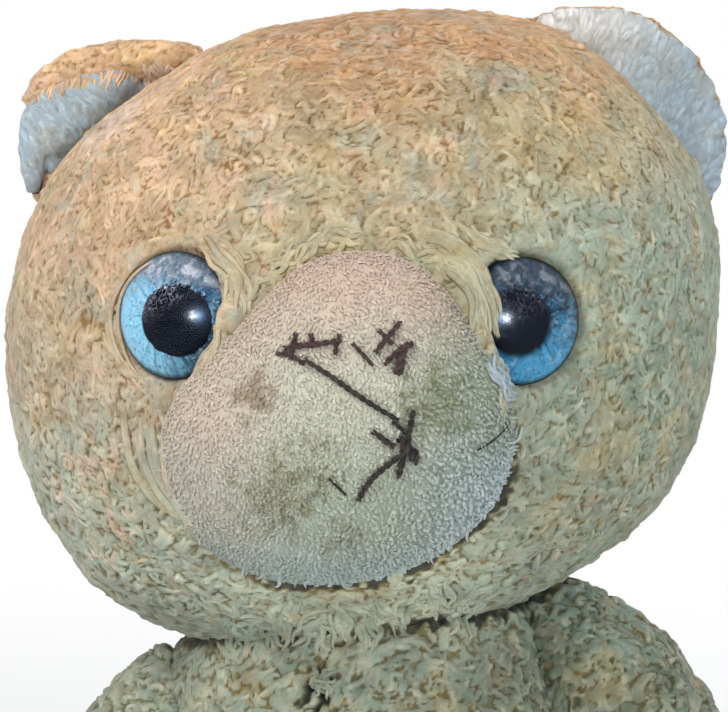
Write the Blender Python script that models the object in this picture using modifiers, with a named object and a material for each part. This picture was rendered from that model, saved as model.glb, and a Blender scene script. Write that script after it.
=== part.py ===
"""A worn, hand-sized stuffed teddy bear, sitting upright.

Metres, +Z up. The bear faces -Y, its own left side is at +X, and the origin is the centre of the flat
under its seat. Covers are hollow shells of pile fabric, and the stuffing inside each is its own solid.
"""

import math

import bmesh
import bpy
from mathutils import Matrix, Vector
from mathutils.bvhtree import BVHTree

# ---------------------------------------------------------------- driving dimensions
SEAM_GAP = 0.0004  # between pieces that are sewn together or lie on each other
FILL_GAP = 0.0016  # between a cover and its stuffing
PILE_WALL = 0.0030  # backing cloth with its matted pile
VELOUR_WALL = 0.0020  # the short looped cloth of the muzzle
LONG_CUT = 0.4  # a length that reaches past the whole bear

HEAD_CENTRE = Vector((0.0, 0.0, 0.158))
HEAD_FRONT = 0.050  # from the centre to the face, without the muzzle
HEAD_BACK = 0.044
HEAD_SEAM_Y = 0.005  # the seam between face and back of the head
# (degrees from +X towards +Z, radius) round the head as it is seen from the front
HEAD_OUTLINE = (
    (0, 0.0604), (18, 0.0620), (36, 0.0592), (55, 0.0574), (75, 0.0522), (95, 0.0495),
    (115, 0.0510), (135, 0.0526), (155, 0.0580), (172, 0.0606), (190, 0.0630), (210, 0.0658),
    (228, 0.0672), (245, 0.0640), (265, 0.0588), (288, 0.0570), (308, 0.0580), (328, 0.0612),
    (345, 0.0608),
)

MUZZLE_X = -0.0045  # the muzzle's middle, from the head's centre
MUZZLE_Z = -0.0166
MUZZLE_BASE_Y = -0.043
MUZZLE_HEIGHT = 0.0215  # how far the muzzle stands out from its base
MUZZLE_FULLNESS = 0.87  # under 1 the dome is fuller than an ellipsoid
MUZZLE_RIM = 0.0020  # the edge that turns into the face's opening
MUZZLE_ROOT = 0.020  # the muzzle's filling reaches this far behind its base
MUZZLE_OVERHANG = 0.05  # share by which the dome swells past its seam
MUZZLE_DROOP = 0.07  # further swelling at the bottom
MUZZLE_OUTLINE = (
    (0, 0.0266), (20, 0.0260), (40, 0.0250), (60, 0.0270), (80, 0.0272), (100, 0.0256),
    (120, 0.0224), (138, 0.0213), (157, 0.0232), (180, 0.0270), (200, 0.0278), (220, 0.0272),
    (240, 0.0256), (265, 0.0236), (290, 0.0234), (312, 0.0244), (335, 0.0260),
)

EYE_RADIUS = 0.0100
EYE_SEAT_DEPTH = 0.0020  # the eye sinks this far into the pile
EYE_DOME = 0.0062  # height of the clear dome
EYE_BACK_THICKNESS = 0.0016
PUPIL_RADIUS = 0.0054
PUPIL_THICKNESS = 0.0005
SHANK_RADIUS = 0.0023
SHANK_LENGTH = 0.0120
WASHER_RADIUS = 0.0068
WASHER_THICKNESS = 0.0012
WASHER_DROP = 0.0014  # from the cloth straight behind the eye to the washer, whose rim meets the curve
# (name, x and z of the eye from the head's centre)
EYES = (("left", 0.0243, -0.0004), ("right", -0.0295, 0.0004))

EAR_THICKNESS = 0.0070
EAR_LINING = 0.0040
EAR_LINING_SINK = 0.10  # share of the lining's thickness that lies below the pile's front
EAR_ROUNDNESS = 0.75
# (name, (x, y and z of the ear's middle from the head's centre, turn and nod in degrees), radius,
# cup, width of the pile's lip over the front)
EARS = (
    ("left", (0.0388, 0.0080, 0.0284, 0, 8), 0.0240, 0.10, 0.0014),
    ("right", (-0.0395, 0.0080, 0.0258, 0, -22), 0.0205, 0.22, 0.0034),
)

NECK_RADIUS = 0.0170

BODY_TOP = 0.120  # inside the head, before the head's form is taken away
BODY_SINK = 0.006  # how far the full form would reach below the floor
BODY_SEAM_Y = 0.010
BODY_ROUNDNESS = 0.5
# share of the body's height, half width, half depth
BODY_SECTIONS = (
    (0.0, 0.0430, 0.0380), (0.3, 0.0470, 0.0410), (0.55, 0.0440, 0.0375),
    (0.8, 0.0380, 0.0310), (1.0, 0.0330, 0.0260),
)

LIMB_ROUNDNESS = 0.62
# (side, points down the middle of the arm, radius at each)
ARMS = (
    ("left", ((0.0200, 0.002, 0.097), (0.0375, 0.000, 0.090), (0.0515, -0.008, 0.065),
              (0.0600, -0.020, 0.036)), (0.0175, 0.0180, 0.0170, 0.0165)),
    ("right", ((-0.0180, 0.002, 0.090), (-0.0290, -0.001, 0.082), (-0.0460, -0.010, 0.060),
               (-0.0580, -0.024, 0.033)), (0.0175, 0.0180, 0.0170, 0.0165)),
)
LEGS = (
    ("left", ((0.018, -0.012, 0.020), (0.032, -0.052, 0.018), (0.041, -0.088, 0.018),
              (0.045, -0.106, 0.036)), (0.0200, 0.0195, 0.0190, 0.0175)),
    ("right", ((-0.018, -0.012, 0.020), (-0.031, -0.053, 0.018), (-0.038, -0.091, 0.018),
               (-0.041, -0.110, 0.035)), (0.0200, 0.0195, 0.0190, 0.0175)),
)
SOLE_CUT = 0.0085  # the sole lies this far past the last point of the leg's middle
SOLE_TILT = math.radians(12)
SOLE_WALL = 0.0022

STITCH_STEP = 0.0018
STITCH_LIFT = 0.00030  # between a thread and the cloth under it
# (name, radius, x and z of each point from the head's centre)
STITCHES = (
    ("nose_long_stitch", 0.00060, ((-0.0096, -0.0050), (-0.0047, -0.0081), (-0.0003, -0.0111),
                                   (0.0042, -0.0139))),
    ("nose_upper_stitch", 0.00045, ((-0.0124, -0.0036), (-0.0099, -0.0032), (-0.0072, -0.0027),
                                    (-0.0042, -0.0023))),
    ("nose_bridge_stitch", 0.00040, ((-0.0025, -0.0026), (-0.0010, -0.0042), (0.0006, -0.0060))),
    ("nose_cross_stitch", 0.00045, ((0.0045, 0.0004), (0.0027, -0.0018), (0.0009, -0.0040))),
    ("nose_side_stitch", 0.00055, ((0.0060, -0.0027), (0.0046, -0.0042), (0.0045, -0.0068))),
    ("nose_tip_stitch", 0.00065, ((0.0064, -0.0126), (0.0059, -0.0149), (0.0055, -0.0172),
                                  (0.0066, -0.0194))),
    ("nose_lower_stitch", 0.00050, ((0.0005, -0.0156), (0.0024, -0.0170), (0.0037, -0.0179))),
    ("mouth_stitch", 0.00045, ((0.0042, -0.0196), (0.0012, -0.0219), (-0.0007, -0.0242),
                               (-0.0016, -0.0263))),
)

# name: (colour, roughness)
FINISHES = {
    "pile": ((0.46, 0.38, 0.25), 0.95),
    "velour": ((0.48, 0.44, 0.36), 0.95),
    "ear_lining": ((0.42, 0.46, 0.45), 0.90),
    "stuffing": ((0.72, 0.70, 0.64), 1.00),
    "clear_plastic": ((0.80, 0.88, 0.92), 0.08),
    "blue_paint": ((0.12, 0.36, 0.56), 0.35),
    "black_plastic": ((0.01, 0.01, 0.02), 0.20),
    "washer_plastic": ((0.75, 0.75, 0.72), 0.50),
    "thread": ((0.05, 0.035, 0.035), 0.80),
}


# ---------------------------------------------------------------- scene, collections, materials
def clear_scene():
    for obj in list(bpy.data.objects):
        bpy.data.objects.remove(obj)


def new_collection(name):
    made = bpy.data.collections.new(name)
    bpy.context.scene.collection.children.link(made)
    return made


def material(name):
    found = bpy.data.materials.get(name)
    if found:
        return found
    colour, roughness = FINISHES[name]
    made = bpy.data.materials.new(name)
    made.use_nodes = True
    shader = made.node_tree.nodes["Principled BSDF"]
    shader.inputs["Base Color"].default_value = (*colour, 1.0)
    shader.inputs["Roughness"].default_value = roughness
    if name == "clear_plastic":
        shader.inputs["Transmission Weight"].default_value = 1.0
    return made


def add_object(name, form, finish):
    """Puts a bmesh in the bear's collection as a named piece."""
    mesh = bpy.data.meshes.new(name)
    form.to_mesh(mesh)
    form.free()
    mesh.shade_smooth()
    mesh.set_sharp_from_angle(angle=math.radians(40))
    obj = bpy.data.objects.new(name, mesh)
    mesh.materials.append(material(finish))
    bear.objects.link(obj)
    return obj


def add_cutter(name, form):
    """Puts a bmesh among the cutters, which are not part of the bear."""
    mesh = bpy.data.meshes.new(name)
    form.to_mesh(mesh)
    form.free()
    obj = bpy.data.objects.new(name, mesh)
    obj.hide_render = True
    obj.display_type = "WIRE"
    cutters.objects.link(obj)
    return obj


def boolean(obj, operation, other):
    step = obj.modifiers.new(f"{operation.lower()}_{other.name}", "BOOLEAN")
    step.operation = operation
    step.object = other


# ---------------------------------------------------------------- curves that the forms follow
def outline_radius(outline, degrees):
    """Radius at an angle, on a closed smooth curve through the outline's points."""
    count = len(outline)
    degrees %= 360
    i = max(k for k in range(count) if outline[k][0] <= degrees)
    points = []
    for k in (i - 1, i, i + 1, i + 2):
        angle, radius = outline[k % count]
        points.append((angle + 360 * math.floor(k / count), radius))
    return hermite(points, degrees)


def hermite(points, at):
    """Value at a place between the two middle ones of four (place, value) points."""
    (x0, y0), (x1, y1), (x2, y2), (x3, y3) = points
    span = x2 - x1
    t = (at - x1) / span
    start = (y2 - y0) / (x2 - x0) * span
    end = (y3 - y1) / (x3 - x1) * span
    return (
        (2 * t**3 - 3 * t**2 + 1) * y1 + (t**3 - 2 * t**2 + t) * start
        + (3 * t**2 - 2 * t**3) * y2 + (t**3 - t**2) * end
    )


def along(values, share):
    """A smooth value or vector between evenly spaced ones, for a share from 0 to 1."""
    last = len(values) - 1
    at = min(max(share, 0.0), 1.0) * last
    i = min(int(at), last - 1)
    before, after = values[max(i - 1, 0)], values[min(i + 2, last)]
    here, there, t = values[i], values[i + 1], at - i
    start, end = (there - before) * 0.5, (after - here) * 0.5
    return (
        here * (2 * t**3 - 3 * t**2 + 1) + start * (t**3 - 2 * t**2 + t)
        + there * (3 * t**2 - 2 * t**3) + end * (t**3 - t**2)
    )


def between(sections, share, column):
    """A column of the body's table, at a share of its height."""
    ends = [(sections[0][0] - 1, sections[0][column]), (sections[-1][0] + 1, sections[-1][column])]
    points = [ends[0], *((s[0], s[column]) for s in sections), ends[1]]
    i = max(k for k in range(1, len(points) - 2) if points[k][0] <= share)
    return hermite(points[i - 1:i + 3], share)


# ---------------------------------------------------------------- the forms, each from a direction on a ball
def head_point(direction, grow=0.0):
    """Point of the head in a direction from its centre. A positive grow moves it outwards."""
    angle = math.atan2(direction.z, direction.x)
    spread = math.hypot(direction.x, direction.z)
    radius = (outline_radius(HEAD_OUTLINE, math.degrees(angle)) + grow) * spread
    depth = (HEAD_FRONT if direction.y < 0 else HEAD_BACK) + grow
    return HEAD_CENTRE + Vector(
        (radius * math.cos(angle), direction.y * depth, radius * math.sin(angle))
    )


def face_point(x, z):
    """Point of the head's front that lies at x and z from its centre."""
    reach = math.hypot(x, z) / outline_radius(HEAD_OUTLINE, math.degrees(math.atan2(z, x)))
    return HEAD_CENTRE + Vector((x, -HEAD_FRONT * math.sqrt(1 - reach**2), z))


def face_normal(x, z):
    """Outward direction of the head's front at x and z from its centre."""
    step = 0.0005
    across = face_point(x + step, z) - face_point(x - step, z)
    up = face_point(x, z + step) - face_point(x, z - step)
    return across.cross(up).normalized()


def muzzle_point(direction, inset=0.0):
    """Point of the muzzle. Directions behind its seam close it inside the head."""
    angle = math.atan2(direction.z, direction.x)
    radius = outline_radius(MUZZLE_OUTLINE, math.degrees(angle)) - inset
    out = Vector((math.cos(angle), 0, math.sin(angle)))
    seam = face_point(MUZZLE_X + radius * out.x, MUZZLE_Z + radius * out.z)
    middle = HEAD_CENTRE + Vector((MUZZLE_X, MUZZLE_BASE_Y, MUZZLE_Z))
    spread = math.hypot(direction.x, direction.z)
    if direction.y > 0:
        inside = middle + Vector((0, MUZZLE_ROOT, 0))
        return inside + (seam - inside) * spread
    height = -direction.y
    swell = MUZZLE_OVERHANG + MUZZLE_DROOP * max(0.0, -out.z)
    wide = spread**MUZZLE_FULLNESS * (1 + swell * 4 * height * spread**2)
    tall = height**MUZZLE_FULLNESS * (MUZZLE_HEIGHT - inset)
    return middle + (seam - middle) * wide + Vector((0, -tall, 0))


def body_point(direction, grow=0.0):
    """Point of the trunk, flat where it sits on the floor."""
    share = (1 + direction.z) / 2
    spread = math.hypot(direction.x, direction.y)
    angle = math.atan2(direction.y, direction.x)
    wide = (between(BODY_SECTIONS, share, 1) + grow) * spread**BODY_ROUNDNESS
    deep = (between(BODY_SECTIONS, share, 2) + grow) * spread**BODY_ROUNDNESS
    height = -BODY_SINK - grow + share * (BODY_TOP + BODY_SINK + 2 * grow)
    floor = -grow if grow < 0 else 0.0
    return Vector((wide * math.cos(angle), deep * math.sin(angle), max(height, floor)))


def limb_point(direction, path, radii, grow=0.0):
    """Point of a stuffed arm or leg round its middle line, flat where it would pass the floor."""
    length = sum((Vector(b) - Vector(a)).length for a, b in zip(path, path[1:]))
    cut = -grow / length
    share = cut + (1 - 2 * cut) * (1 - direction.z) / 2
    points = [Vector(p) for p in path]
    step = 0.02
    middle = along(points, share)
    ahead = along(points, min(share + step, 1.0)) - along(points, max(share - step, 0.0))
    side = ahead.cross(Vector((0, 0, 1))).normalized()
    up = side.cross(ahead).normalized()
    spread = math.hypot(direction.x, direction.y)
    radius = (along(radii, share) + grow) * spread**LIMB_ROUNDNESS
    angle = math.atan2(direction.y, direction.x)
    tip = ahead.normalized() * (along(radii, share) + grow) * (
        -direction.z * max(0.0, 1 - spread) ** 0.5 * 0.55
    )
    point = middle + tip + (side * math.cos(angle) + up * math.sin(angle)) * radius
    floor = -grow if grow < 0 else 0.0
    return Vector((point.x, point.y, max(point.z, floor)))


def sphere(around, rings, axis):
    """A sphere of unit radius with its poles on an axis."""
    form = bmesh.new()
    turn = Matrix.Identity(4) if axis == "Z" else Matrix.Rotation(math.radians(90), 4, "X")
    bmesh.ops.create_uvsphere(form, u_segments=around, v_segments=rings, radius=1.0, matrix=turn)
    return form


def ball(around, rings, point, axis="Z"):
    """A closed form: a sphere's points, each moved to where point(direction) puts it."""
    form = sphere(around, rings, axis)
    for vertex in form.verts:
        vertex.co = point(vertex.co.normalized())
    return form


def muzzle_dome(around, rings):
    """The muzzle's outer surface, open behind, with an edge that turns into the face's opening."""
    form = sphere(around, rings, "Y")
    behind = [v for v in form.verts if v.co.y > 0.01]
    bmesh.ops.delete(form, geom=behind, context="VERTS")
    for vertex in form.verts:
        direction = vertex.co.normalized()
        direction.y = min(direction.y, 0.0)
        vertex.co = muzzle_point(direction)
    seam = [e for e in form.edges if e.is_boundary]
    edge = bmesh.ops.extrude_edge_only(form, edges=seam)["geom"]
    turned_in = [v for v in edge if isinstance(v, bmesh.types.BMVert)]
    bmesh.ops.translate(form, verts=turned_in, vec=(0, MUZZLE_RIM, 0))
    return form


def disc_cutter(name, outline, grow, depth, middle):
    """A straight prism along Y with a closed outline, for the opening behind the muzzle."""
    form = bmesh.new()
    bmesh.ops.create_cone(
        form, cap_ends=True, segments=36, radius1=1.0, radius2=1.0, depth=depth,
        matrix=Matrix.Rotation(math.radians(90), 4, "X"),
    )
    for vertex in form.verts:
        angle = math.atan2(vertex.co.z, vertex.co.x)
        radius = outline_radius(outline, math.degrees(angle)) + grow
        vertex.co = middle + Vector(
            (radius * math.cos(angle), vertex.co.y, radius * math.sin(angle))
        )
    bmesh.ops.recalc_face_normals(form, faces=form.faces)
    return add_cutter(name, form)


def slab_cutter(name, low, high):
    """A box between two corners."""
    form = bmesh.new()
    low, high = Vector(low), Vector(high)
    size = high - low
    bmesh.ops.create_cube(form, size=1.0)
    for vertex in form.verts:
        vertex.co = (low + high) / 2 + Vector(a * b for a, b in zip(vertex.co, size))
    return add_cutter(name, form)


def rod_cutter(name, radius, start, end, matrix, segments=20):
    """A cylinder between two heights on the local Z of a frame."""
    form = bmesh.new()
    place = matrix @ Matrix.Translation((0, 0, (start + end) / 2))
    bmesh.ops.create_cone(
        form, cap_ends=True, segments=segments, radius1=radius, radius2=radius,
        depth=end - start, matrix=place,
    )
    return add_cutter(name, form)


def half_space(name, y, behind):
    """A block that holds everything behind, or everything in front of, a plane across Y."""
    near, far = (y, y + LONG_CUT) if behind else (y - LONG_CUT, y)
    return slab_cutter(name, (-LONG_CUT, near, -LONG_CUT), (LONG_CUT, far, LONG_CUT))


# ---------------------------------------------------------------- eyes
def turned(name, profile, matrix, finish, steps=20):
    """A solid turned about the local Z of a frame, from (radius, height) points listed top to bottom."""
    mesh = bpy.data.meshes.new(name)
    ends = range(len(profile) - 1)
    mesh.from_pydata([(r, 0, h) for r, h in profile], [(i, i + 1) for i in ends], [])
    mesh.materials.append(material(finish))
    obj = bpy.data.objects.new(name, mesh)
    obj.matrix_world = matrix
    turn = obj.modifiers.new("turn", "SCREW")
    turn.steps = turn.render_steps = steps
    turn.use_merge_vertices = True
    turn.merge_threshold = 0.00001
    bear.objects.link(obj)
    return obj


def eye_frame(x, z):
    """Frame on the face at an eye: Z points out of the head."""
    normal = face_normal(x, z)
    matrix = normal.to_track_quat("Z", "Y").to_matrix().to_4x4()
    matrix.translation = face_point(x, z)
    return matrix


def add_eye(side, matrix):
    """The painted back with its shank, the black pupil, the clear dome and the lock washer."""
    floor = -EYE_SEAT_DEPTH + SEAM_GAP
    top = floor + EYE_BACK_THICKNESS
    rim = 0.0004
    turned(f"eye_{side}_back", (
        (0, top), (EYE_RADIUS - rim, top), (EYE_RADIUS, top - rim), (EYE_RADIUS, floor + rim),
        (EYE_RADIUS - rim, floor), (SHANK_RADIUS, floor), (SHANK_RADIUS, floor - SHANK_LENGTH),
        (0, floor - SHANK_LENGTH),
    ), matrix, "blue_paint")

    clearance = 0.0001
    base = top + clearance
    pocket = base + PUPIL_THICKNESS + clearance
    ball_radius = (EYE_RADIUS**2 + EYE_DOME**2) / (2 * EYE_DOME)
    widest = math.asin(EYE_RADIUS / ball_radius)
    arcs = 5
    dome = [
        (ball_radius * math.sin(widest * k / arcs),
         base + EYE_DOME - ball_radius * (1 - math.cos(widest * k / arcs)))
        for k in range(arcs + 1)
    ]
    pocket_radius = PUPIL_RADIUS + clearance
    turned(f"eye_{side}_dome", (
        *dome[:-1], (EYE_RADIUS, base + rim), (EYE_RADIUS, base),
        (pocket_radius, base), (pocket_radius, pocket), (0, pocket),
    ), matrix, "clear_plastic")
    turned(f"eye_{side}_pupil", (
        (0, base + PUPIL_THICKNESS), (PUPIL_RADIUS, base + PUPIL_THICKNESS),
        (PUPIL_RADIUS, base + clearance / 2), (0, base + clearance / 2),
    ), matrix, "black_plastic")

    hole = SHANK_RADIUS + SEAM_GAP / 2
    front = -PILE_WALL - WASHER_DROP
    turned(f"eye_{side}_washer", (
        (hole, front), (WASHER_RADIUS, front), (WASHER_RADIUS, front - WASHER_THICKNESS),
        (hole, front - WASHER_THICKNESS), (hole, front),
    ), matrix, "washer_plastic", steps=16)


def eye_cutters(side, matrix):
    """What the eye takes out of the cover, and what its washer takes out of the stuffing."""
    seat = rod_cutter(
        f"eye_{side}_seat", EYE_RADIUS + SEAM_GAP, -EYE_SEAT_DEPTH, LONG_CUT / 10, matrix, 20
    )
    hole = rod_cutter(
        f"eye_{side}_hole", SHANK_RADIUS + SEAM_GAP, -2 * PILE_WALL, LONG_CUT / 10, matrix, 12
    )
    room = rod_cutter(
        f"eye_{side}_room", WASHER_RADIUS + SEAM_GAP, -SHANK_LENGTH - 2 * EYE_SEAT_DEPTH,
        LONG_CUT / 10, matrix, 16
    )
    return seat, hole, room


# ---------------------------------------------------------------- head
def add_head():
    """Face panel, back panel, muzzle and stuffing."""
    hollow = add_cutter("head_hollow", ball(24, 12, lambda d: head_point(d, -PILE_WALL), "Y"))
    upright = Matrix.Translation(HEAD_CENTRE)
    neck = rod_cutter("neck_opening", NECK_RADIUS + SEAM_GAP, -0.09, -0.02, upright)
    muzzle_opening = disc_cutter(
        "muzzle_opening", MUZZLE_OUTLINE, SEAM_GAP, 0.05,
        HEAD_CENTRE + Vector((MUZZLE_X, -0.045, MUZZLE_Z)),
    )
    frames = {side: eye_frame(x, z) for side, x, z in EYES}
    eye_cuts = {side: eye_cutters(side, frames[side]) for side in frames}

    face = add_object("head_face_panel", ball(32, 16, head_point, "Y"), "pile")
    boolean(face, "DIFFERENCE", hollow)
    boolean(face, "DIFFERENCE", half_space("behind_head_seam", HEAD_SEAM_Y - SEAM_GAP / 2, True))
    boolean(face, "DIFFERENCE", neck)
    boolean(face, "DIFFERENCE", muzzle_opening)
    for seat, hole, _ in eye_cuts.values():
        boolean(face, "DIFFERENCE", seat)
        boolean(face, "DIFFERENCE", hole)

    back = add_object("head_back_panel", ball(32, 16, head_point, "Y"), "pile")
    boolean(back, "DIFFERENCE", hollow)
    boolean(back, "DIFFERENCE", half_space("before_head_seam", HEAD_SEAM_Y + SEAM_GAP / 2, False))
    boolean(back, "DIFFERENCE", neck)

    muzzle = add_object("muzzle_panel", muzzle_dome(28, 12), "velour")
    surface = BVHTree.FromPolygons(
        [v.co.copy() for v in muzzle.data.vertices], [p.vertices[:] for p in muzzle.data.polygons]
    )
    wall = muzzle.modifiers.new("wall", "SOLIDIFY")
    wall.thickness = VELOUR_WALL
    wall.offset = -1
    for seat, _, _ in eye_cuts.values():
        boolean(muzzle, "DIFFERENCE", seat)

    filling_inset = PILE_WALL + FILL_GAP
    stuffing = add_object(
        "head_stuffing", ball(24, 12, lambda d: head_point(d, -filling_inset), "Y"), "stuffing"
    )
    muzzle_inset = VELOUR_WALL + FILL_GAP
    bulge = add_cutter("muzzle_filling", ball(28, 12, lambda d: muzzle_point(d, muzzle_inset), "Y"))
    plug = rod_cutter("neck_filling", NECK_RADIUS, -0.07, -0.02, upright)
    boolean(plug, "INTERSECT", add_cutter("head_form", ball(32, 16, head_point, "Y")))
    boolean(stuffing, "UNION", bulge)
    boolean(stuffing, "UNION", plug)
    for side, (_, _, room) in eye_cuts.items():
        boolean(stuffing, "DIFFERENCE", room)
        add_eye(side, frames[side])
    return surface


def add_stitches(surface):
    """What is left of the sewn nose and mouth, lying on the muzzle."""
    for name, radius, route in STITCHES:
        flat = [Vector(point) for point in route]
        length = sum((b - a).length for a, b in zip(flat, flat[1:]))
        count = max(3, round(length / STITCH_STEP))
        points = []
        for k in range(count + 1):
            x, z = along(flat, k / count)
            start = HEAD_CENTRE + Vector((x, -LONG_CUT, z))
            place, normal, _, _ = surface.ray_cast(start, Vector((0, 1, 0)))
            points.append(place + normal * (radius + STITCH_LIFT))
        add_thread(name, points, radius)


def add_thread(name, points, radius):
    """A round thread through a line of points."""
    curve = bpy.data.curves.new(name, "CURVE")
    curve.dimensions = "3D"
    curve.bevel_depth = radius
    curve.bevel_resolution = 1
    curve.use_fill_caps = True
    line = curve.splines.new("POLY")
    line.points.add(len(points) - 1)
    for slot, place in zip(line.points, points):
        slot.co = (*place, 1.0)
    curve.materials.append(material("thread"))
    bear.objects.link(bpy.data.objects.new(name, curve))


# ---------------------------------------------------------------- ears
def ear_frame(x, y, z, turn, nod):
    """Frame of an ear: X across it, Y up it and Z out of its front."""
    place = Matrix.Translation(HEAD_CENTRE + Vector((x, y, z)))
    facing = Matrix.Rotation(math.radians(90), 4, "X")
    lean = Matrix.Rotation(math.radians(turn), 4, "Z") @ Matrix.Rotation(math.radians(nod), 4, "X")
    return place @ lean @ facing


def ear_point(direction, radius, thickness, cup, forward=0.0):
    """Point of a round ear, cupped so that its edge comes forward."""
    spread = math.hypot(direction.x, direction.y)
    across = radius * spread**EAR_ROUNDNESS
    angle = math.atan2(direction.y, direction.x)
    reach = across / radius
    depth = direction.z * thickness / 2 + cup * reach**2 * radius + forward
    return Vector((across * math.cos(angle), across * math.sin(angle), depth))


def add_ear(side, place, radius, cup, lip, head_cut):
    """The pile back, with its lip round the front edge, and the lining that lies in it."""
    frame = ear_frame(*place)

    def back_point(direction):
        return frame @ ear_point(direction, radius, EAR_THICKNESS, cup)

    def lining_point(direction, grow=0.0):
        return frame @ ear_point(
            direction, radius - lip + grow, EAR_LINING + 2 * grow, cup * (1 - lip / radius),
            EAR_THICKNESS / 2 - EAR_LINING * EAR_LINING_SINK,
        )

    back = add_object(f"ear_{side}_back", ball(28, 8, back_point), "pile")
    room = add_cutter(f"ear_{side}_room", ball(24, 6, lambda d: lining_point(d, SEAM_GAP)))
    boolean(back, "DIFFERENCE", room)
    boolean(back, "DIFFERENCE", head_cut)
    lining = add_object(f"ear_{side}_lining", ball(24, 6, lining_point), "ear_lining")
    boolean(lining, "DIFFERENCE", head_cut)


# ---------------------------------------------------------------- body and limbs
def add_body(head_cut):
    """Front and back of the trunk's cover, and its stuffing, up to the head."""
    hollow = add_cutter("body_hollow", ball(20, 10, lambda d: body_point(d, -PILE_WALL)))
    halves = (("front", -SEAM_GAP / 2, True), ("back", SEAM_GAP / 2, False))
    for half, offset, behind in halves:
        panel = add_object(f"body_{half}_panel", ball(26, 12, body_point), "pile")
        boolean(panel, "DIFFERENCE", hollow)
        other = half_space(f"beyond_body_{half}", BODY_SEAM_Y + offset, behind)
        boolean(panel, "DIFFERENCE", other)
        boolean(panel, "DIFFERENCE", head_cut)
    inset = PILE_WALL + FILL_GAP
    stuffing = add_object("body_stuffing", ball(20, 10, lambda d: body_point(d, -inset)), "stuffing")
    boolean(stuffing, "DIFFERENCE", head_cut)


def add_limb(name, path, radii, cuts):
    """A hollow cover that is open where it is sewn on, and its stuffing."""
    cover = add_object(f"{name}_cover", ball(16, 12, lambda d: limb_point(d, path, radii)), "pile")
    hollow = ball(12, 10, lambda d: limb_point(d, path, radii, -PILE_WALL))
    boolean(cover, "DIFFERENCE", add_cutter(f"{name}_hollow", hollow))
    inset = PILE_WALL + FILL_GAP
    filling = ball(12, 10, lambda d: limb_point(d, path, radii, -inset))
    stuffing = add_object(f"{name}_stuffing", filling, "stuffing")
    for cut in cuts:
        boolean(cover, "DIFFERENCE", cut)
        boolean(stuffing, "DIFFERENCE", cut)


def add_leg(side, path, radii, body_cut):
    """A leg whose foot ends in a flat sole pad."""
    toe = Vector(path[-1]) + Vector((0, -SOLE_CUT, 0))
    plane = Matrix.Translation(toe) @ Matrix.Rotation(SOLE_TILT, 4, "X")
    past_cover = placed_block(f"leg_{side}_past_cover", plane, SOLE_WALL + SEAM_GAP)
    add_limb(f"leg_{side}", path, radii, (body_cut, past_cover))
    sole = add_object(
        f"leg_{side}_sole", ball(16, 12, lambda d: limb_point(d, path, radii)), "velour"
    )
    boolean(sole, "INTERSECT", placed_block(f"leg_{side}_pad", plane, SOLE_WALL))
    boolean(sole, "DIFFERENCE", placed_block(f"leg_{side}_past_pad", plane, 0.0))


def placed_block(name, plane, behind):
    """Everything in front of a plane across a frame's Y, moved back by a distance."""
    form = bmesh.new()
    bmesh.ops.create_cube(form, size=LONG_CUT / 2)
    shift = Matrix.Translation((0, behind - LONG_CUT / 4, 0))
    bmesh.ops.transform(form, matrix=plane @ shift, verts=form.verts)
    return add_cutter(name, form)


clear_scene()
bear = new_collection("teddy_bear")
cutters = new_collection("cutters")

muzzle_surface = add_head()
add_stitches(muzzle_surface)
head_room = add_cutter("head_room", ball(32, 16, lambda d: head_point(d, SEAM_GAP), "Y"))
body_room = add_cutter("body_room", ball(26, 12, lambda d: body_point(d, SEAM_GAP)))
for ear_side, ear_place, ear_radius, ear_cup, ear_lip in EARS:
    add_ear(ear_side, ear_place, ear_radius, ear_cup, ear_lip, head_room)
add_body(head_room)
for arm_side, arm_path, arm_radii in ARMS:
    add_limb(f"arm_{arm_side}", arm_path, arm_radii, (body_room, head_room))
for leg_side, leg_path, leg_radii in LEGS:
    add_leg(leg_side, leg_path, leg_radii, body_room)
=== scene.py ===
# %% [markdown]
# # A threadbare teddy bear
# This bear is a stuffed toy whose long pile has matted into felt. Its muzzle is a short looped cloth,
# the ears are lined with brushed cloth, and only a few threads are left of the sewn nose. The solids
# of the frame give every place and size. The looks are made in three layers: a smooth skin over each
# stuffed part, strokes of pile that raise that skin, and shader groups for dirt, dye and fibre.

# %% Load the frame
import math

import bmesh
import bpy
import numpy as np
from mathutils import Matrix, Vector
from mathutils.bvhtree import BVHTree


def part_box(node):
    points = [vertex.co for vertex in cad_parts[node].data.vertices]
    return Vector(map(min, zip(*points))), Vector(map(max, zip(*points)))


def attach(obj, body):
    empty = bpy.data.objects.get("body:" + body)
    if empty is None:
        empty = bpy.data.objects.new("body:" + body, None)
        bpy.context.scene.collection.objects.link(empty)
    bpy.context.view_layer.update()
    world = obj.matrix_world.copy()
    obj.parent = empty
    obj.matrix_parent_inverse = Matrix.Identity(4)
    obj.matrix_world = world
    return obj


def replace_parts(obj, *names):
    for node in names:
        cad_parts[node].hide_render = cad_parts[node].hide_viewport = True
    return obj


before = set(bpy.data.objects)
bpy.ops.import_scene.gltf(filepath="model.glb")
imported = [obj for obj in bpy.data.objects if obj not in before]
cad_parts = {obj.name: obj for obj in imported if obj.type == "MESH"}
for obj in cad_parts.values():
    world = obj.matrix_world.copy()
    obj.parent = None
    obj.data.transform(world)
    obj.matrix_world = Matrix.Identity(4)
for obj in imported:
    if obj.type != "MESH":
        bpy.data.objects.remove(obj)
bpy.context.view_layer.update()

print("nodes:", len(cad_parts))

# %% [markdown]
# ## Measures
# All places are read from the frame's boxes, so the dressing follows the solids. The colours and the
# directions of the pile are worked out from the head's centre.

# %% Places on the bear
MM = 0.001
SIDES = ("left", "right")


def joined_box(*nodes):
    """Lowest and highest corner of several nodes together."""
    lows, highs = zip(*(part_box(node) for node in nodes))
    return np.min(lows, axis=0), np.max(highs, axis=0)


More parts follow.
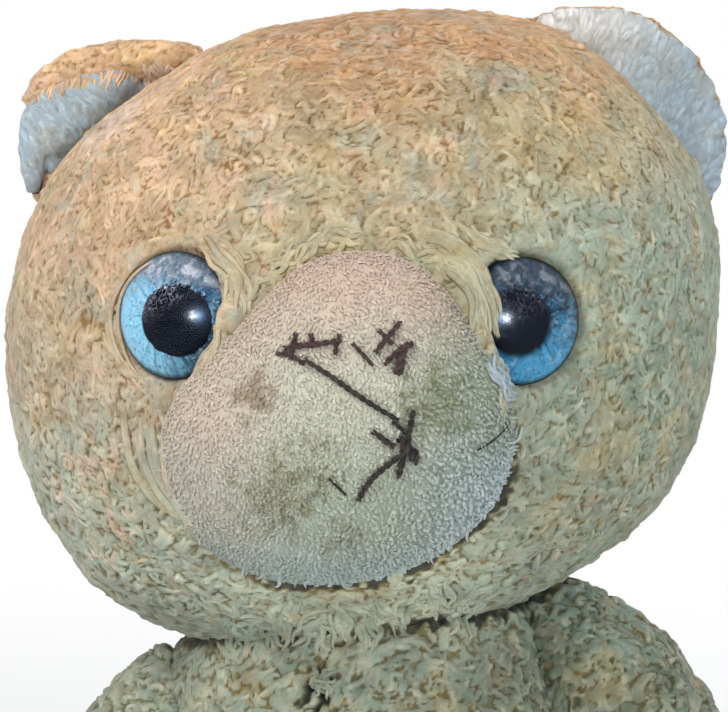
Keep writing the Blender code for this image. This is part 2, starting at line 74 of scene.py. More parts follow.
head_low, head_high = joined_box("head_face_panel", "head_back_panel")
eye_backs = [np.mean(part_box(f"eye_{side}_back"), axis=0) for side in SIDES]
eyes_middle, eye_level = (float(np.mean([back[axis] for back in eye_backs])) for axis in (0, 2))
HEAD = Vector((0.5 * (head_low[0] + head_high[0]), 0.0, eye_level))
MUZZLE = Vector(np.mean(joined_box("muzzle_panel"), axis=0))
print("head centre", [round(c, 4) for c in HEAD], "muzzle centre", [round(c, 4) for c in MUZZLE])

# %% [markdown]
# ## Skins
# A stuffed part is a cover, pulled tight over its filling. The frame holds both as separate faceted
# solids. The filling is swollen until it touches the cover, a voxel remesh fuses the two into one
# closed skin, and smoothing takes the facets away. Smoothing shrinks a round form a little, so the
# skin is grown back by the same amount.

# %% Helpers for meshes
def in_scene(name, data):
    """A new object in the scene."""
    thing = bpy.data.objects.new(name, data)
    bpy.context.scene.collection.objects.link(thing)
    return thing


def add_piece(mesh, name):
    """Puts a mesh in the scene as a piece that rides on the bear."""
    piece = in_scene(name, mesh)
    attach(piece, "root")
    return piece


def corner_values(mesh, what="co"):
    """The place, or the normal, of each corner of a mesh."""
    values = np.empty((len(mesh.vertices), 3))
    mesh.vertices.foreach_get(what, values.ravel())
    return values


def modified(name, mesh, *modifiers):
    """A new mesh, as modifiers leave one. Each is a kind and its settings."""
    holder = in_scene(name, mesh)
    for kind, settings in modifiers:
        modifier = holder.modifiers.new(kind.lower(), kind)
        for setting, value in settings.items():
            setattr(modifier, setting, value)
    graph = bpy.context.evaluated_depsgraph_get()
    made = bpy.data.meshes.new_from_object(holder.evaluated_get(graph))
    bpy.data.objects.remove(holder)
    return made


def places_and_faces(form, swell=0.0):
    """A form's corners, moved out along their normals, and its faces. The form is used up."""
    form.normal_update()
    places = [corner.co + corner.normal * swell for corner in form.verts]
    faces = [[corner.index for corner in face.verts] for face in form.faces]
    form.free()
    return places, faces


def welded(node, swell=0.0):
    """A node's corners and faces, with its corners merged."""
    form = bmesh.new()
    form.from_mesh(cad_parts[node].data)
    bmesh.ops.remove_doubles(form, verts=form.verts, dist=1e-6)
    return places_and_faces(form, swell)


# %% One smooth skin round several parts
def remeshed(name, parts, voxel, smooth, grow):
    """One closed smooth skin round several (places, faces) parts."""
    places, faces = [], []
    for part_places, part_faces in parts:
        start = len(places)
        places += part_places
        faces += [[i + start for i in face] for face in part_faces]
    rough = bpy.data.meshes.new(name + "_rough")
    rough.from_pydata(places, [], faces)
    fuse = ("REMESH", {"mode": "VOXEL", "voxel_size": voxel})
    mesh = modified(name, rough, fuse, ("SMOOTH", {"factor": 0.5, "iterations": smooth}))
    grown_corners = corner_values(mesh) + corner_values(mesh, "normal") * grow
    mesh.vertices.foreach_set("co", grown_corners.ravel())
    mesh.name = name
    mesh.shade_smooth()
    mesh.update()
    print(name, "faces", len(mesh.polygons))
    return mesh


def stuffed_skin(name, covers, filling, voxel, smooth=4):
    """A skin over covers and their filling, which is swollen so that no gap stays between."""
    parts = [welded(cover) for cover in covers] + [welded(filling, swell=3.0 * MM)]
    return remeshed(name, parts, voxel, smooth, 0.25 * MM)


HEAD_COVERS = ("head_face_panel", "head_back_panel")
BODY_COVERS = ("body_front_panel", "body_back_panel")
skins = {
    "head": stuffed_skin("head", HEAD_COVERS, "head_stuffing", 3.05 * MM, 6),
    "body": stuffed_skin("body", BODY_COVERS, "body_stuffing", 3.9 * MM),
}
for side in SIDES:
    for limb, voxel in (("arm", 3.6 * MM), ("leg", 4.2 * MM)):
        name = f"{limb}_{side}"
        skins[name] = stuffed_skin(name, (f"{name}_cover",), f"{name}_stuffing", voxel)


# %% Skins of the muzzle, the ears and the soles
def thin_skin(node, voxel, smooth, grow):
    """A smooth skin over one node that is a solid sheet of cloth."""
    return remeshed(node + "_skin", [welded(node)], voxel, smooth, grow)


skins["muzzle"] = thin_skin("muzzle_panel", 1.3 * MM, 5, 0.1 * MM)
for side in SIDES:
    skins[f"ear_{side}"] = thin_skin(f"ear_{side}_back", 0.9 * MM, 4, 0.2 * MM)
    skins[f"lining_{side}"] = thin_skin(f"ear_{side}_lining", 0.75 * MM, 4, 0.1 * MM)
    skins[f"sole_{side}"] = thin_skin(f"leg_{side}_sole", 1.2 * MM, 3, 0.15 * MM)

# %% [markdown]
# ## The folded ear
# The right ear is folded: its plush has rolled over the top, and its lining bulges over the head.
# Both are strung together from balls along a path on the front of the ear, and fused like the skins.
# A path has a place to the side, a height and a radius at each of its points, in millimetres.

# %% Rolls of the folded ear
PLUSH_ROLL = np.array([
    (-58.4, 193.6, 1.2), (-55.5, 196.6, 2.2), (-51.0, 199.0, 2.8), (-45.5, 200.2, 3.0),
    (-38.0, 200.8, 3.0), (-31.0, 200.6, 2.4),
]) * MM
LINING_ROLL = np.array([
    (-57.0, 184.5, 2.2), (-54.2, 187.0, 3.6), (-50.4, 190.2, 4.6), (-46.4, 194.4, 4.6),
    (-43.0, 197.6, 3.4),
]) * MM
LINING_EDGE = np.array([
    (-57.6, 178.6, 1.4), (-58.2, 184.5, 2.0), (-57.4, 190.0, 2.6), (-54.0, 193.2, 3.0),
    (-49.5, 196.0, 3.0),
]) * MM
BALLS = 30
folded_lining = welded("ear_right_lining")
folded_tree = BVHTree.FromPolygons(*folded_lining)


def rolled(path, forward):
    """Balls strung along a path, laid on the front of the folded lining."""
    parts = []
    at = np.linspace(0, len(path) - 1, BALLS)
    for x, z, radius in zip(*(np.interp(at, np.arange(len(path)), path[:, k]) for k in range(3))):
        nearest = folded_tree.find_nearest((x, -4 * MM, z))[0]
        ball = bmesh.new()
        centre = Matrix.Translation((x, nearest[1] - forward, z))
        bmesh.ops.create_icosphere(ball, subdivisions=2, radius=radius, matrix=centre)
        parts.append(places_and_faces(ball))
    return parts


skins["roll"] = remeshed("ear_right_roll", rolled(PLUSH_ROLL, 0.6 * MM), 0.85 * MM, 3, 0.2 * MM)
bulge = [folded_lining] + rolled(LINING_ROLL, -1.0 * MM) + rolled(LINING_EDGE, 0.2 * MM)
skins["lining_right"] = remeshed("ear_right_lining_skin", bulge, 0.75 * MM, 6, 0.2 * MM)

# %% [markdown]
# ## Camera, floor and light
# The bear is seen from straight ahead and a little above, close to its face, so the trunk runs out
# of the picture. The floor is pale and keeps the bear's shadow. Far from the bear it turns to plain
# white, and so does the world behind, but only for the camera and for what gloss and glass send on,
# so that no extra light falls on the bear.

# %% Camera
SEEN_FROM = 0.400
LOOK_DOWN = math.radians(3.0)
LENS_PER_METRE = 6400.0
FRAME_WIDTH = 728
EYES_BEHIND_FACE = 4 * MM
eyes_front = Vector((eyes_middle, float(head_low[1]) + EYES_BEHIND_FACE, eye_level))
ahead = Vector((0, math.cos(LOOK_DOWN), -math.sin(LOOK_DOWN)))
aim = eyes_front + Vector((1.9 * MM, 0, -5.9 * MM))
camera_data = bpy.data.cameras.new("camera")
camera_data.sensor_width = 36.0
camera_data.lens = camera_data.sensor_width * LENS_PER_METRE * SEEN_FROM / FRAME_WIDTH
camera_data.clip_start = 0.02


def turned_to(thing, place, target):
    """Moves an object to a place and turns it to face a target."""
    thing.location = place
    thing.rotation_euler = (target - Vector(place)).to_track_quat("-Z", "Y").to_euler()


camera = in_scene("camera", camera_data)
turned_to(camera, eyes_front - ahead * SEEN_FROM, aim)
bpy.context.scene.camera = camera
print("lens", round(camera_data.lens, 1), "mm, eyes at", [round(c, 4) for c in eyes_front])

# %% [markdown]
# ## Shader nodes as sums
# A material here is a tree of small nodes, and most of them are plain arithmetic. A Value stands for
# a node's output, so that a sum or a product of values is written as such and becomes a Math node.
# New nodes go into the tree that was opened last.

# %% A node's output as a value
class Value:
    """An output of a shader node."""

    def __init__(self, socket):
        self.socket = socket

    def __add__(self, other):
        return math_node("ADD", self, other)

    def __sub__(self, other):
        return math_node("SUBTRACT", self, other)

    def __rsub__(self, other):
        return math_node("SUBTRACT", other, self)

    def __mul__(self, other):
        return math_node("MULTIPLY", self, other)

    def __truediv__(self, other):
        return math_node("DIVIDE", self, other)

    def __rtruediv__(self, other):
        return math_node("DIVIDE", other, self)

    def ranged(self, low, high, start=0.0, end=1.0):
        """This value, mapped smoothly from low..high to start..end."""
        settings = {"interpolation_type": "SMOOTHSTEP"}
        return add_node("ShaderNodeMapRange", settings, n0=self, n1=low, n2=high, n3=start, n4=end)


# %% Add nodes to a tree
def set_inputs(node, **inputs):
    """Sets or links inputs, named in lower case with underscores, or numbered after an n."""
    for name, value in inputs.items():
        if name[0] == "n" and name[1:].isdigit():
            socket = node.inputs[int(name[1:])]
        else:
            wanted = name.replace("_", " ").lower()
            socket = next(s for s in node.inputs if s.name.lower() == wanted and s.enabled)
        if isinstance(value, Value):
            opened.links.new(value.socket, socket)
        else:
            socket.default_value = value


def add_node(kind, settings=(), output=0, **inputs):
    """A new node's output, by number or by name, or a list of outputs for a tuple of names."""
    node = opened.nodes.new(kind)
    for name, value in dict(settings).items():
        setattr(node, name, value)
    set_inputs(node, **inputs)
    if isinstance(output, tuple):
        return [Value(node.outputs[name]) for name in output]
    return Value(node.outputs[output])


# %% Nodes that most materials need
def math_node(operation, a, b=0.0, clamp=False):
    """A Math node, with its result clamped to 0 to 1 if that is asked for."""
    return add_node("ShaderNodeMath", {"operation": operation, "use_clamp": clamp}, n0=a, n1=b)


def vector_math(operation, a, b=(0.0, 0.0, 0.0), output=0):
    """A Vector Math node."""
    return add_node("ShaderNodeVectorMath", {"operation": operation}, output, n0=a, n1=b)


def length_of(vector):
    """How long a vector is."""
    return vector_math("LENGTH", vector, output="Value")


def mixed(factor, a, b, blend="MIX"):
    """A colour between two others."""
    settings = {"data_type": "RGBA", "blend_type": blend}
    return add_node("ShaderNodeMix", settings, 2, n0=factor, n6=a, n7=b)


def noise(vector, scale, detail=3.0, distortion=0.0, roughness=0.5):
    """Grey noise, from 0 to 1."""
    return add_node(
        "ShaderNodeTexNoise", vector=vector, scale=scale, detail=detail, roughness=roughness,
        distortion=distortion,
    )


def rgba(red, green, blue):
    """A colour with full cover."""
    return (red, green, blue, 1.0)


def shows_white():
    """1 for the camera's own rays and for those that metal or glass sends on."""
    kinds = ("Is Camera Ray", "Is Glossy Ray", "Is Transmission Ray")
    straight, glossy, sent_on = add_node("ShaderNodeLightPath", output=kinds)
    return math_node("ADD", straight + glossy, sent_on, clamp=True)


def open_tree(tree):
    """Says which tree new nodes go into."""
    global opened
    opened = tree


def new_material(name):
    """A new material with its tree opened, and its Principled shader."""
    material = bpy.data.materials.new(name)
    material.use_nodes = True
    open_tree(material.node_tree)
    print("material", name)
    return material, opened.nodes["Principled BSDF"]


# %% Floor that fades to white
FLOOR_RADIUS = 1.6
floor_form = bmesh.new()
bmesh.ops.create_circle(floor_form, cap_ends=True, segments=96, radius=FLOOR_RADIUS)
floor_mesh = bpy.data.meshes.new("floor")
floor_form.to_mesh(floor_mesh)
floor_form.free()
floor = in_scene("floor", floor_mesh)
floor.location.z = -0.3 * MM
floor_material, shader = new_material("pale_floor")
set_inputs(shader, base_color=rgba(0.86, 0.86, 0.85), roughness=0.9, specular_ior_level=0.1)
faded = length_of(add_node("ShaderNodeTexCoord", output="Object")).ranged(0.30, 0.75) * shows_white()
glow = add_node("ShaderNodeEmission", color=rgba(1, 1, 1), strength=1.0)
shown = add_node("ShaderNodeMixShader", n0=faded, n1=Value(shader.outputs[0]), n2=glow)
set_inputs(opened.nodes["Material Output"], surface=shown)
floor_mesh.materials.append(floor_material)

# %% World and lamps
world = bpy.data.worlds.new("studio")
bpy.context.scene.world = world
world.use_nodes = True
open_tree(world.node_tree)
backdrop = opened.nodes["Background"]
set_inputs(backdrop, color=rgba(0.93, 0.96, 1.0), strength=0.55)
white = add_node("ShaderNodeBackground", color=rgba(1, 1, 1), strength=1.0)
shown = add_node("ShaderNodeMixShader", n0=shows_white(), n1=Value(backdrop.outputs[0]), n2=white)
set_inputs(opened.nodes["World Output"], surface=shown)


def add_lamp(name, place, size, power, colour, glint=False):
    """A square soft lamp that faces the head. A glint shows in glossy plastic and lights nothing."""
    lamp = bpy.data.lights.new(name, "AREA")
    lamp.size = size
    lamp.energy = power
    lamp.color = colour
    holder = in_scene(name, lamp)
    turned_to(holder, place, HEAD)
    holder.visible_glossy = glint
    holder.visible_diffuse = not glint
    print("lamp", name, power, "W")


add_lamp("key", (-0.55, -0.85, 0.95), 0.55, 9.2, (1.0, 0.965, 0.92))
add_lamp("fill", (0.55, -0.95, 0.04), 0.70, 5.0, (0.92, 0.97, 1.0))
add_lamp("back", (0.30, 0.90, 0.80), 0.60, 5.0, (1.0, 1.0, 1.0))
add_lamp("glint", (0.0, -0.60, 0.19), 0.035, 5.0, (0.95, 0.98, 1.0), glint=True)
bpy.context.scene.view_settings.view_transform = "Standard"

# %% [markdown]
# ## Where the eyes are
# An eye is turned about its own axis, so the middles of its dome and of its washer both lie on that
# axis. They give its direction, and the dome's corners give its rim and its height.

# %% Measure the eyes
def node_corners(node):
    """The places of a node's corners, each once."""
    return np.unique(corner_values(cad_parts[node].data).round(7), axis=0)


eyes = {}
for side in SIDES:
    dome, washer = node_corners(f"eye_{side}_dome"), node_corners(f"eye_{side}_washer")
    axis = dome.mean(axis=0) - washer.mean(axis=0)
    axis /= np.linalg.norm(axis)
    out = (dome - washer.mean(axis=0)) @ axis
    centre = washer.mean(axis=0) + axis * out.min()
    flat = dome - centre - ((dome - centre) @ axis)[:, None] * axis
    radius, height = float(np.linalg.norm(flat, axis=1).max()), float(out.max() - out.min())
    eyes[side] = {"centre": centre, "axis": axis, "radius": radius, "height": height}
    print("eye", side, centre.round(4), axis.round(2), round(radius, 4))

# %% [markdown]
# ## Roots of the pile
# A stroke of pile, or a loop of cloth, has its root at a point on a skin. The roots are scattered by
# chance and thinned out until no two are closer than a set distance, so that they cover the skin
# evenly without a pattern.

# %% Scatter points on a skin
class Surface:
    """A skin's triangles, with what is needed to scatter points on it and to lay things over it."""

    def __init__(self, mesh):
        mesh.calc_loop_triangles()
        self.corners = corner_values(mesh)
        self.triangles = np.empty((len(mesh.loop_triangles), 3), dtype=np.int32)
        mesh.loop_triangles.foreach_get("vertices", self.triangles.ravel())
        self.tree = BVHTree.FromPolygons(self.corners.tolist(), self.triangles.tolist())

    def scattered(self, rng, spacing, keep, stretch=(1, 1, 1)):
        """Points and normals at least a spacing apart. keep says which points may stay."""
        a, b, c = (self.corners[self.triangles[:, k]] for k in range(3))
        across = np.cross(b - a, c - a)
        areas = 0.5 * np.linalg.norm(across, axis=1)
        share = areas / (spacing * spacing)
        count = int(share.sum() * 2.4)
        chosen = rng.choice(len(areas), count, p=share / share.sum())
        u, v = rng.random(count), rng.random(count)
        over = u + v > 1
        u[over], v[over] = 1 - u[over], 1 - v[over]
        points = a[chosen] + u[:, None] * (b - a)[chosen] + v[:, None] * (c - a)[chosen]
        normals = across[chosen] / (2 * areas[chosen, None])
        allowed = keep(points, normals)
        points, normals = points[allowed], normals[allowed]
        stay = thinned(points * stretch, spacing)
        return points[stay], normals[stay]

    def laid(self, points):
        """Each point's nearest place on the skin, and the normal there."""
        places, normals = np.empty_like(points), np.empty_like(points)
        for i, point in enumerate(points):
            places[i], normals[i], _, _ = self.tree.find_nearest(point)
        return places, normals

    def distance(self, points):
        """How far each point is from the skin."""
        return np.array([self.tree.find_nearest(point)[3] for point in points])


NEIGHBOURS = [(dx, dy, dz) for dx in (-1, 0, 1) for dy in (-1, 0, 1) for dz in (-1, 0, 1)]


def thinned(points, gap):
    """Indices of the points that stay when each keeps a gap to those before it."""
    grid = {}
    stay = []
    reach = gap * gap
    keys = np.floor(points / gap).astype(int)
    for i, (point, key) in enumerate(zip(points.tolist(), map(tuple, keys.tolist()))):
        x, y, z = point
        cells = ((key[0] + dx, key[1] + dy, key[2] + dz) for dx, dy, dz in NEIGHBOURS)
        near = (other for cell in cells for other in grid.get(cell, ()))
        if all((x - q[0])**2 + (y - q[1])**2 + (z - q[2])**2 > reach for q in near):
            grid.setdefault(key, []).append(point)
            stay.append(i)
    return np.array(stay, dtype=int)


# %% [markdown]
# ## Strands
# A loop or a loose strand is a flattened tube. Its path is laid back on the skin at every ring, so it
# follows the form under it. Three values are stored at each of its corners for the materials: how
# far it is from the root, the strand's own tint, and how high it lies. A second set gives a place
# along and across its fibres, in millimetres.

# %% Build a mesh from arrays
def quad_mesh(name, corners, quads):
    """A mesh from arrays of corners and of four corner numbers for each face."""
    mesh = bpy.data.meshes.new(name)
    mesh.vertices.add(len(corners))
    mesh.vertices.foreach_set("co", corners.ravel())
    mesh.loops.add(quads.size)
    mesh.loops.foreach_set("vertex_index", quads.ravel().astype(np.int32))
    mesh.polygons.add(len(quads))
    mesh.polygons.foreach_set("loop_start", np.arange(0, quads.size, 4, dtype=np.int32))
    mesh.update(calc_edges=True)
    mesh.shade_smooth()
    return mesh


def stacked(shape, *parts):
    """Values of one shape, side by side."""
    return np.stack([np.broadcast_to(part, shape) for part in parts], axis=-1)


def store(mesh, name, values):
    """A vector for each corner of a mesh, under a name that materials can read."""
    layer = mesh.attributes.new(name, "FLOAT_VECTOR", "POINT")
    layer.data.foreach_set("vector", np.ascontiguousarray(values, dtype=np.float32).ravel())


def unit(vectors):
    """Vectors of length one."""
    return vectors / np.maximum(np.linalg.norm(vectors, axis=-1, keepdims=True), 1e-12)


def run_of(points):
    """How far along a line each of its points is."""
    return np.concatenate([[0], np.cumsum(np.linalg.norm(np.diff(points, axis=0), axis=1))])


def softened(line, rounds):
    """A line whose inner points are drawn towards their neighbours."""
    for _ in range(rounds):
        line[1:-1] = 0.5 * line[1:-1] + 0.25 * (line[:-2] + line[2:])
    return line


def tube_quads(tubes, rings, sides):
    """Faces of tubes whose corners are numbered by tube, ring and side."""
    ring, side = np.meshgrid(np.arange(rings - 1), np.arange(sides), indexing="ij")
    beyond = (side + 1) % sides
    near, far = ring * sides, (ring + 1) * sides
    wall = np.stack([near + side, near + beyond, far + beyond, far + side], axis=-1).reshape(-1, 4)
    return (wall[None] + (np.arange(tubes) * rings * sides)[:, None, None]).reshape(-1, 4)


# %% Paths and strands
# A section has corners across and up.
FLAT_SECTION = np.array([(1.0, 0.0), (0.55, 0.8), (-0.55, 0.8), (-1.0, 0.0), (0.0, -0.5)])
ROUND_SECTION = np.array([(1.0, 0.0), (0.0, 1.0), (-1.0, 0.0), (0.0, -0.7)])


def walked(surface, roots, normals, headings, angle, length, beside=0.0):
    """Paths over a surface, and the normals along them. A path turns sideways by an angle at each
    of its rings, and beside moves it aside."""
    forward = unit(headings - normals * np.sum(headings * normals, axis=1, keepdims=True))
    sideways = np.cross(normals, forward)
    step = length[:, None] / (angle.shape[1] - 1)
    along = np.cumsum(np.cos(angle) * step, axis=1) - np.cos(angle[:, :1]) * step
    across = np.cumsum(np.sin(angle) * step, axis=1) - np.sin(angle[:, :1]) * step + beside
    path = roots[:, None] + along[..., None] * forward[:, None] + across[..., None] * sideways[:, None]
    places, ups = surface.laid(path.reshape(-1, 3))
    return places.reshape(path.shape), ups.reshape(path.shape)


def strand_mesh(name, centres, ups, width, height, section, tint, bed, length):
    """Flattened tubes along centres, with the values that the pile's materials read."""
    count, rings = centres.shape[:2]
    share = np.linspace(0.0, 1.0, rings)
    taper = np.sin(np.pi * (0.12 + 0.86 * share))**0.6
    taper[-1] *= 0.2
    tangents = unit(np.gradient(centres, axis=1))
    sides_way = unit(np.cross(ups, tangents))
    lifts_way = np.cross(tangents, sides_way)
    rims = centres[:, :, None]
    for size, part, way in ((width, section[:, 0], sides_way), (height, section[:, 1], lifts_way)):
        rims = rims + (size[:, None] * taper * 0.5)[..., None, None] * part[:, None] * way[:, :, None]
    rims[..., 2] = np.maximum(rims[..., 2], 0.0)
    mesh = quad_mesh(name, rims.reshape(-1, 3), tube_quads(count, rings, len(section)))
    shape = (count, rings, len(section))
    tint, bed = tint[:, None, None], bed[:, None, None]
    store(mesh, "lock", stacked(shape, share[None, :, None], tint, bed))
    run = (share[None] * length[:, None])[..., None] / MM
    span = section[:, 0] * width[:, None, None] * 0.5 / MM
    store(mesh, "fibre", stacked(shape, run, span, tint * 97.0))
    return mesh


# %% Directions and heights in which the pile lies
def waves(points, size, seed, count=9):
    """Smooth random values at points, from about -1 to 1, that change over about one size."""
    field = np.random.default_rng(seed)
    total = np.zeros(len(points))
    for _ in range(count):
        wave = field.normal(0, 1, 3)
        wave *= 2 * np.pi / size / np.linalg.norm(wave) * field.uniform(0.6, 1.5)
        total += np.sin(points @ wave + field.uniform(0, 2 * np.pi))
    return total / math.sqrt(count / 2)


def swirl(points, size, seed):
    """A smooth field of directions that changes over about one size."""
    return unit(np.stack([waves(points, size, seed + 31 * k) for k in range(3)], axis=1))


def about_eye(points, eye):
    """How far points are out along an eye's axis, and their places across it."""
    offset = points - eye["centre"]
    out = offset @ eye["axis"]
    return out, offset - out[:, None] * eye["axis"]


def near_eye(points):
    """Distance of each point from the rim of the nearest eye, seen along the eye's own axis."""
    distances = []
    for eye in eyes.values():
        out, flat = about_eye(points, eye)
        gap = np.linalg.norm(flat, axis=1) - eye["radius"]
        distances.append(np.where(np.abs(out) < 9 * MM, gap, 1.0))
    return np.min(distances, axis=0)


def grown(name, mesh, material):
    """Adds a mesh as a piece with its slot and its material."""
    mesh.materials.append(material)
    piece = add_piece(mesh, name)
    print(name, "faces", len(mesh.polygons))
    return piece

# %% [markdown]
# ## Felt
# Matted plush is not made of separate hairs any more. It is a sheet of strands that lie over each
# other and have stuck together. Separate small solids look like leaves, so the sheet is sculpted
# instead: each skin is divided finely, thousands of rounded strokes are laid over it, and each corner
# of the skin rises to the highest stroke that passes it. Where no stroke passes, a low crease stays.
# Wherever the felt lies lower than round about, its colour gets painted shade.

# %% Divide a skin finely
def divided(mesh, levels, keep):
    """Corners, normals and four-sided faces of a finer copy of a mesh. keep(centres, outs) says
    which faces stay."""
    fine = modified("holder", mesh, ("SUBSURF", {"levels": levels}))
    corners, normals = corner_values(fine), corner_values(fine, "normal")
    quads = np.empty((len(fine.polygons), 4), dtype=np.int32)
    fine.loops.foreach_get("vertex_index", quads.ravel())
    bpy.data.meshes.remove(fine)
    quads = quads[keep(corners[quads].mean(axis=1), normals[quads].mean(axis=1))]
    used, quads = np.unique(quads, return_inverse=True)
    return corners[used], normals[used], quads.reshape(-1, 4)


# %% Lay strokes over a skin
def strokes(surface, roots, normals, headings, rng, style, bed):
    """Points along rounded strokes. A tuft is several strands side by side that close up."""
    strands, rings, samples = style["strands"], 6, style["samples"]
    tuft = np.repeat(np.arange(len(roots)), strands)
    count = len(tuft)
    beside = (np.tile(np.arange(strands), len(roots)) - (strands - 1) / 2) * style["apart"]
    vary = rng.normal(1.0, 0.25, (len(roots), 3)).clip(0.5, 1.7)[tuft]
    own = rng.normal(1.0, 0.15, (count, 3)).clip(0.6, 1.5)
    length = style["length"] * vary[:, 0] * own[:, 0]
    radius = style["width"] * 0.5 * vary[:, 1] * own[:, 1]
    height = style["height"] * vary[:, 2] * own[:, 2]
    curl = rng.normal(0.0, style["curl"], len(roots))[tuft] + rng.normal(0.0, 0.15, count)
    bend = rng.normal(0.0, style["bend"], len(roots))[tuft]
    phase = rng.uniform(0, 2 * np.pi, len(roots))[tuft]

    share = np.linspace(0.0, 1.0, rings)
    angle = curl[:, None] * share**1.2 + bend[:, None] * np.sin(2 * np.pi * share + phase[:, None])
    closing = beside[:, None] * (1 - 0.55 * share)
    places, ups = walked(surface, roots[tuft], normals[tuft], headings[tuft], angle, length, closing)

    at = np.linspace(0.0, rings - 1.001, samples)
    first = at.astype(int)
    part = (at - first)[None, :, None]
    line = places[:, first] * (1 - part) + places[:, first + 1] * part
    normal = unit(ups[:, first] * (1 - part) + ups[:, first + 1] * part)
    side = unit(np.cross(normal, np.gradient(line, axis=1)))
    t = np.linspace(0.0, 1.0, samples)[None]
    swell = np.sin(np.pi * (0.10 + 0.84 * t))**0.5
    shape = (count, samples)
    lift = style["rise"] * (bed[tuft] + rng.normal(0, 0.08, count))[:, None] * (0.35 + 0.65 * swell)
    return {
        "line": line.reshape(-1, 3),
        "side": side.reshape(-1, 3),
        "radius": (radius[:, None] * swell).ravel(),
        "lift": lift.ravel(),
        "height": (height[:, None] * swell).ravel(),
        "run": (length[:, None] * t / MM).ravel(),
        "share": np.broadcast_to(t, shape).ravel(),
        "tint": np.broadcast_to(
            np.clip(rng.random(len(roots))[tuft] + rng.normal(0, 0.12, count), 0, 1)[:, None], shape
        ).ravel(),
    }


def joined(*groups):
    """Several groups of strokes as one."""
    return {key: np.concatenate([group[key] for group in groups]) for key in groups[0]}


# %% Raise a skin to its strokes
CELLS_ACROSS = 4096
UNTOUCHED = -1.0
SOFTENED = 0.48


def highest_stroke(corners, lines):
    """For each corner, the height of the highest stroke that passes it, and that stroke's point."""
    cell = float(lines["radius"].max())
    low = corners.min(axis=0) - 3 * cell
    base = np.array([1, CELLS_ACROSS, CELLS_ACROSS**2])
    cells = ((corners - low) / cell).astype(np.int64) @ base
    order = np.argsort(cells)
    cells = cells[order]
    point_cells = np.floor((lines["line"] - low) / cell).astype(np.int64)
    best = np.full(len(corners), UNTOUCHED)
    which = np.zeros(len(corners), dtype=np.int64)
    for neighbour in NEIGHBOURS:
        wanted = (point_cells + neighbour) @ base
        begin = np.searchsorted(cells, wanted, "left")
        found = np.searchsorted(cells, wanted, "right") - begin
        points = np.repeat(np.arange(len(wanted)), found)
        inside = np.arange(len(points)) - np.repeat(np.cumsum(found) - found, found)
        near = order[inside + np.repeat(begin, found)]
        apart = np.sum((corners[near] - lines["line"][points])**2, axis=1)
        apart /= lines["radius"][points]**2
        close = apart < 1
        near, points, apart = near[close], points[close], apart[close]
        level = lines["lift"][points] + lines["height"][points] * np.sqrt(1 - apart)
        rising = np.argsort(level)
        near, points, level = near[rising], points[rising], level[rising]
        here = np.full(len(corners), UNTOUCHED)
        here_point = np.zeros(len(corners), dtype=np.int64)
        here[near], here_point[near] = level, points
        higher = here > best
        best[higher], which[higher] = here[higher], here_point[higher]
    return best, which


def blurred(values, quads, rounds):
    """Values averaged with those of the neighbouring corners."""
    ends = np.concatenate([quads, np.roll(quads, 1, axis=1)], axis=1).reshape(-1)
    others = np.concatenate([np.roll(quads, 1, axis=1), quads], axis=1).reshape(-1)
    count = np.bincount(ends, minlength=len(values))
    for _ in range(rounds):
        total = np.bincount(ends, weights=values[others], minlength=len(values))
        values = 0.5 * values + 0.5 * total / np.maximum(count, 1)
    return values


def creases(points, width):
    """How much of a crease there is at each point, from 0 to 1. The lines wander and break off."""
    warped = points + swirl(points, 5 * MM, 81) * (0.9 * MM)
    total = np.zeros(len(points))
    for size, seed, opening in ((10 * MM, 61, 0.35), (6.5 * MM, 67, 0.55), (7.5 * MM, 73, 0.60)):
        line = np.exp(-(waves(warped, size, seed) / width)**2)
        broken = np.clip((waves(points, 8 * MM, seed + 3) - opening) / 0.25, 0, 1)
        total = np.maximum(total, line * broken)
    return total


def everywhere(points, normals):
    """Keeps every point."""
    return np.ones(len(points), bool)


def felted(
    name, skin, levels, lines, material, keep=everywhere, parts=None, bare=0.44 * MM,
    depth=0.0, swollen=None, flattened=None, painted_shade=None, shading=1.0,
):
    """A finely divided skin raised to its strokes. parts names the pieces that it is cut into,
    swollen(corners) adds height, flattened(corners) is the share of the height that stays, and
    hollow(corners) is how much painted shadow darkens the colour, from 0 to 1. The colour also gets
    painted shade wherever the felt lies lower than round about."""
    corners, normals, quads = divided(skin, levels, keep)
    level, which = highest_stroke(corners, lines)
    missed = level == UNTOUCHED
    level = np.where(missed, bare + waves(corners, 2 * MM, 97) * (0.06 * MM), level)
    level = level * (1 - SOFTENED) + blurred(level, quads, 2) * SOFTENED
    cut = creases(corners, 0.085) * depth
    if swollen:
        level = level + swollen(corners)
    if flattened:
        level = level * flattened(corners)
    # How far the felt lies above its neighbours, less the creases. The material paints shade where it
    # is low.
    above = (level - blurred(level, quads, 10)) / (0.80 * MM) - cut / (0.6 * MM)
    above += 0.5 * (level - blurred(level, quads, 3)) / (0.25 * MM)
    above *= shading
    raised = corners + normals * (level - cut)[:, None]
    raised[:, 2] = np.maximum(raised[:, 2], 0.0)
    # Painted shade: darker where the felt lies low, in creases and on bare ground.
    shade = np.clip(0.6 + above - 0.06 * missed, 0, 1)
    # Painted shadow: the given function darkens the colour where the light is kept out.
    if painted_shade:
        shade = shade * (1 - painted_shade(corners)) - painted_shade(corners)
    # The lock's third value carries this painted shade to the material.
    lock = np.stack([lines["share"][which], lines["tint"][which], shade], axis=1)
    span = np.sum((corners - lines["line"][which]) * lines["side"][which], axis=1) / MM
    fibre = np.stack([lines["run"][which], span, lines["tint"][which] * 97.0], axis=1)
    print(name, "uncovered", round(float(missed.mean()), 3))
    pieces = []
    centres = corners[quads].mean(axis=1)
    for part, chosen in (parts or {"": lambda places: everywhere(places, None)}).items():
        used, own = np.unique(quads[chosen(centres)], return_inverse=True)
        mesh = quad_mesh(name + part, raised[used], own.reshape(-1, 4))
        store(mesh, "lock", lock[used])
        store(mesh, "fibre", fibre[used])
        pieces.append(grown(name + part, mesh, material))
    return pieces
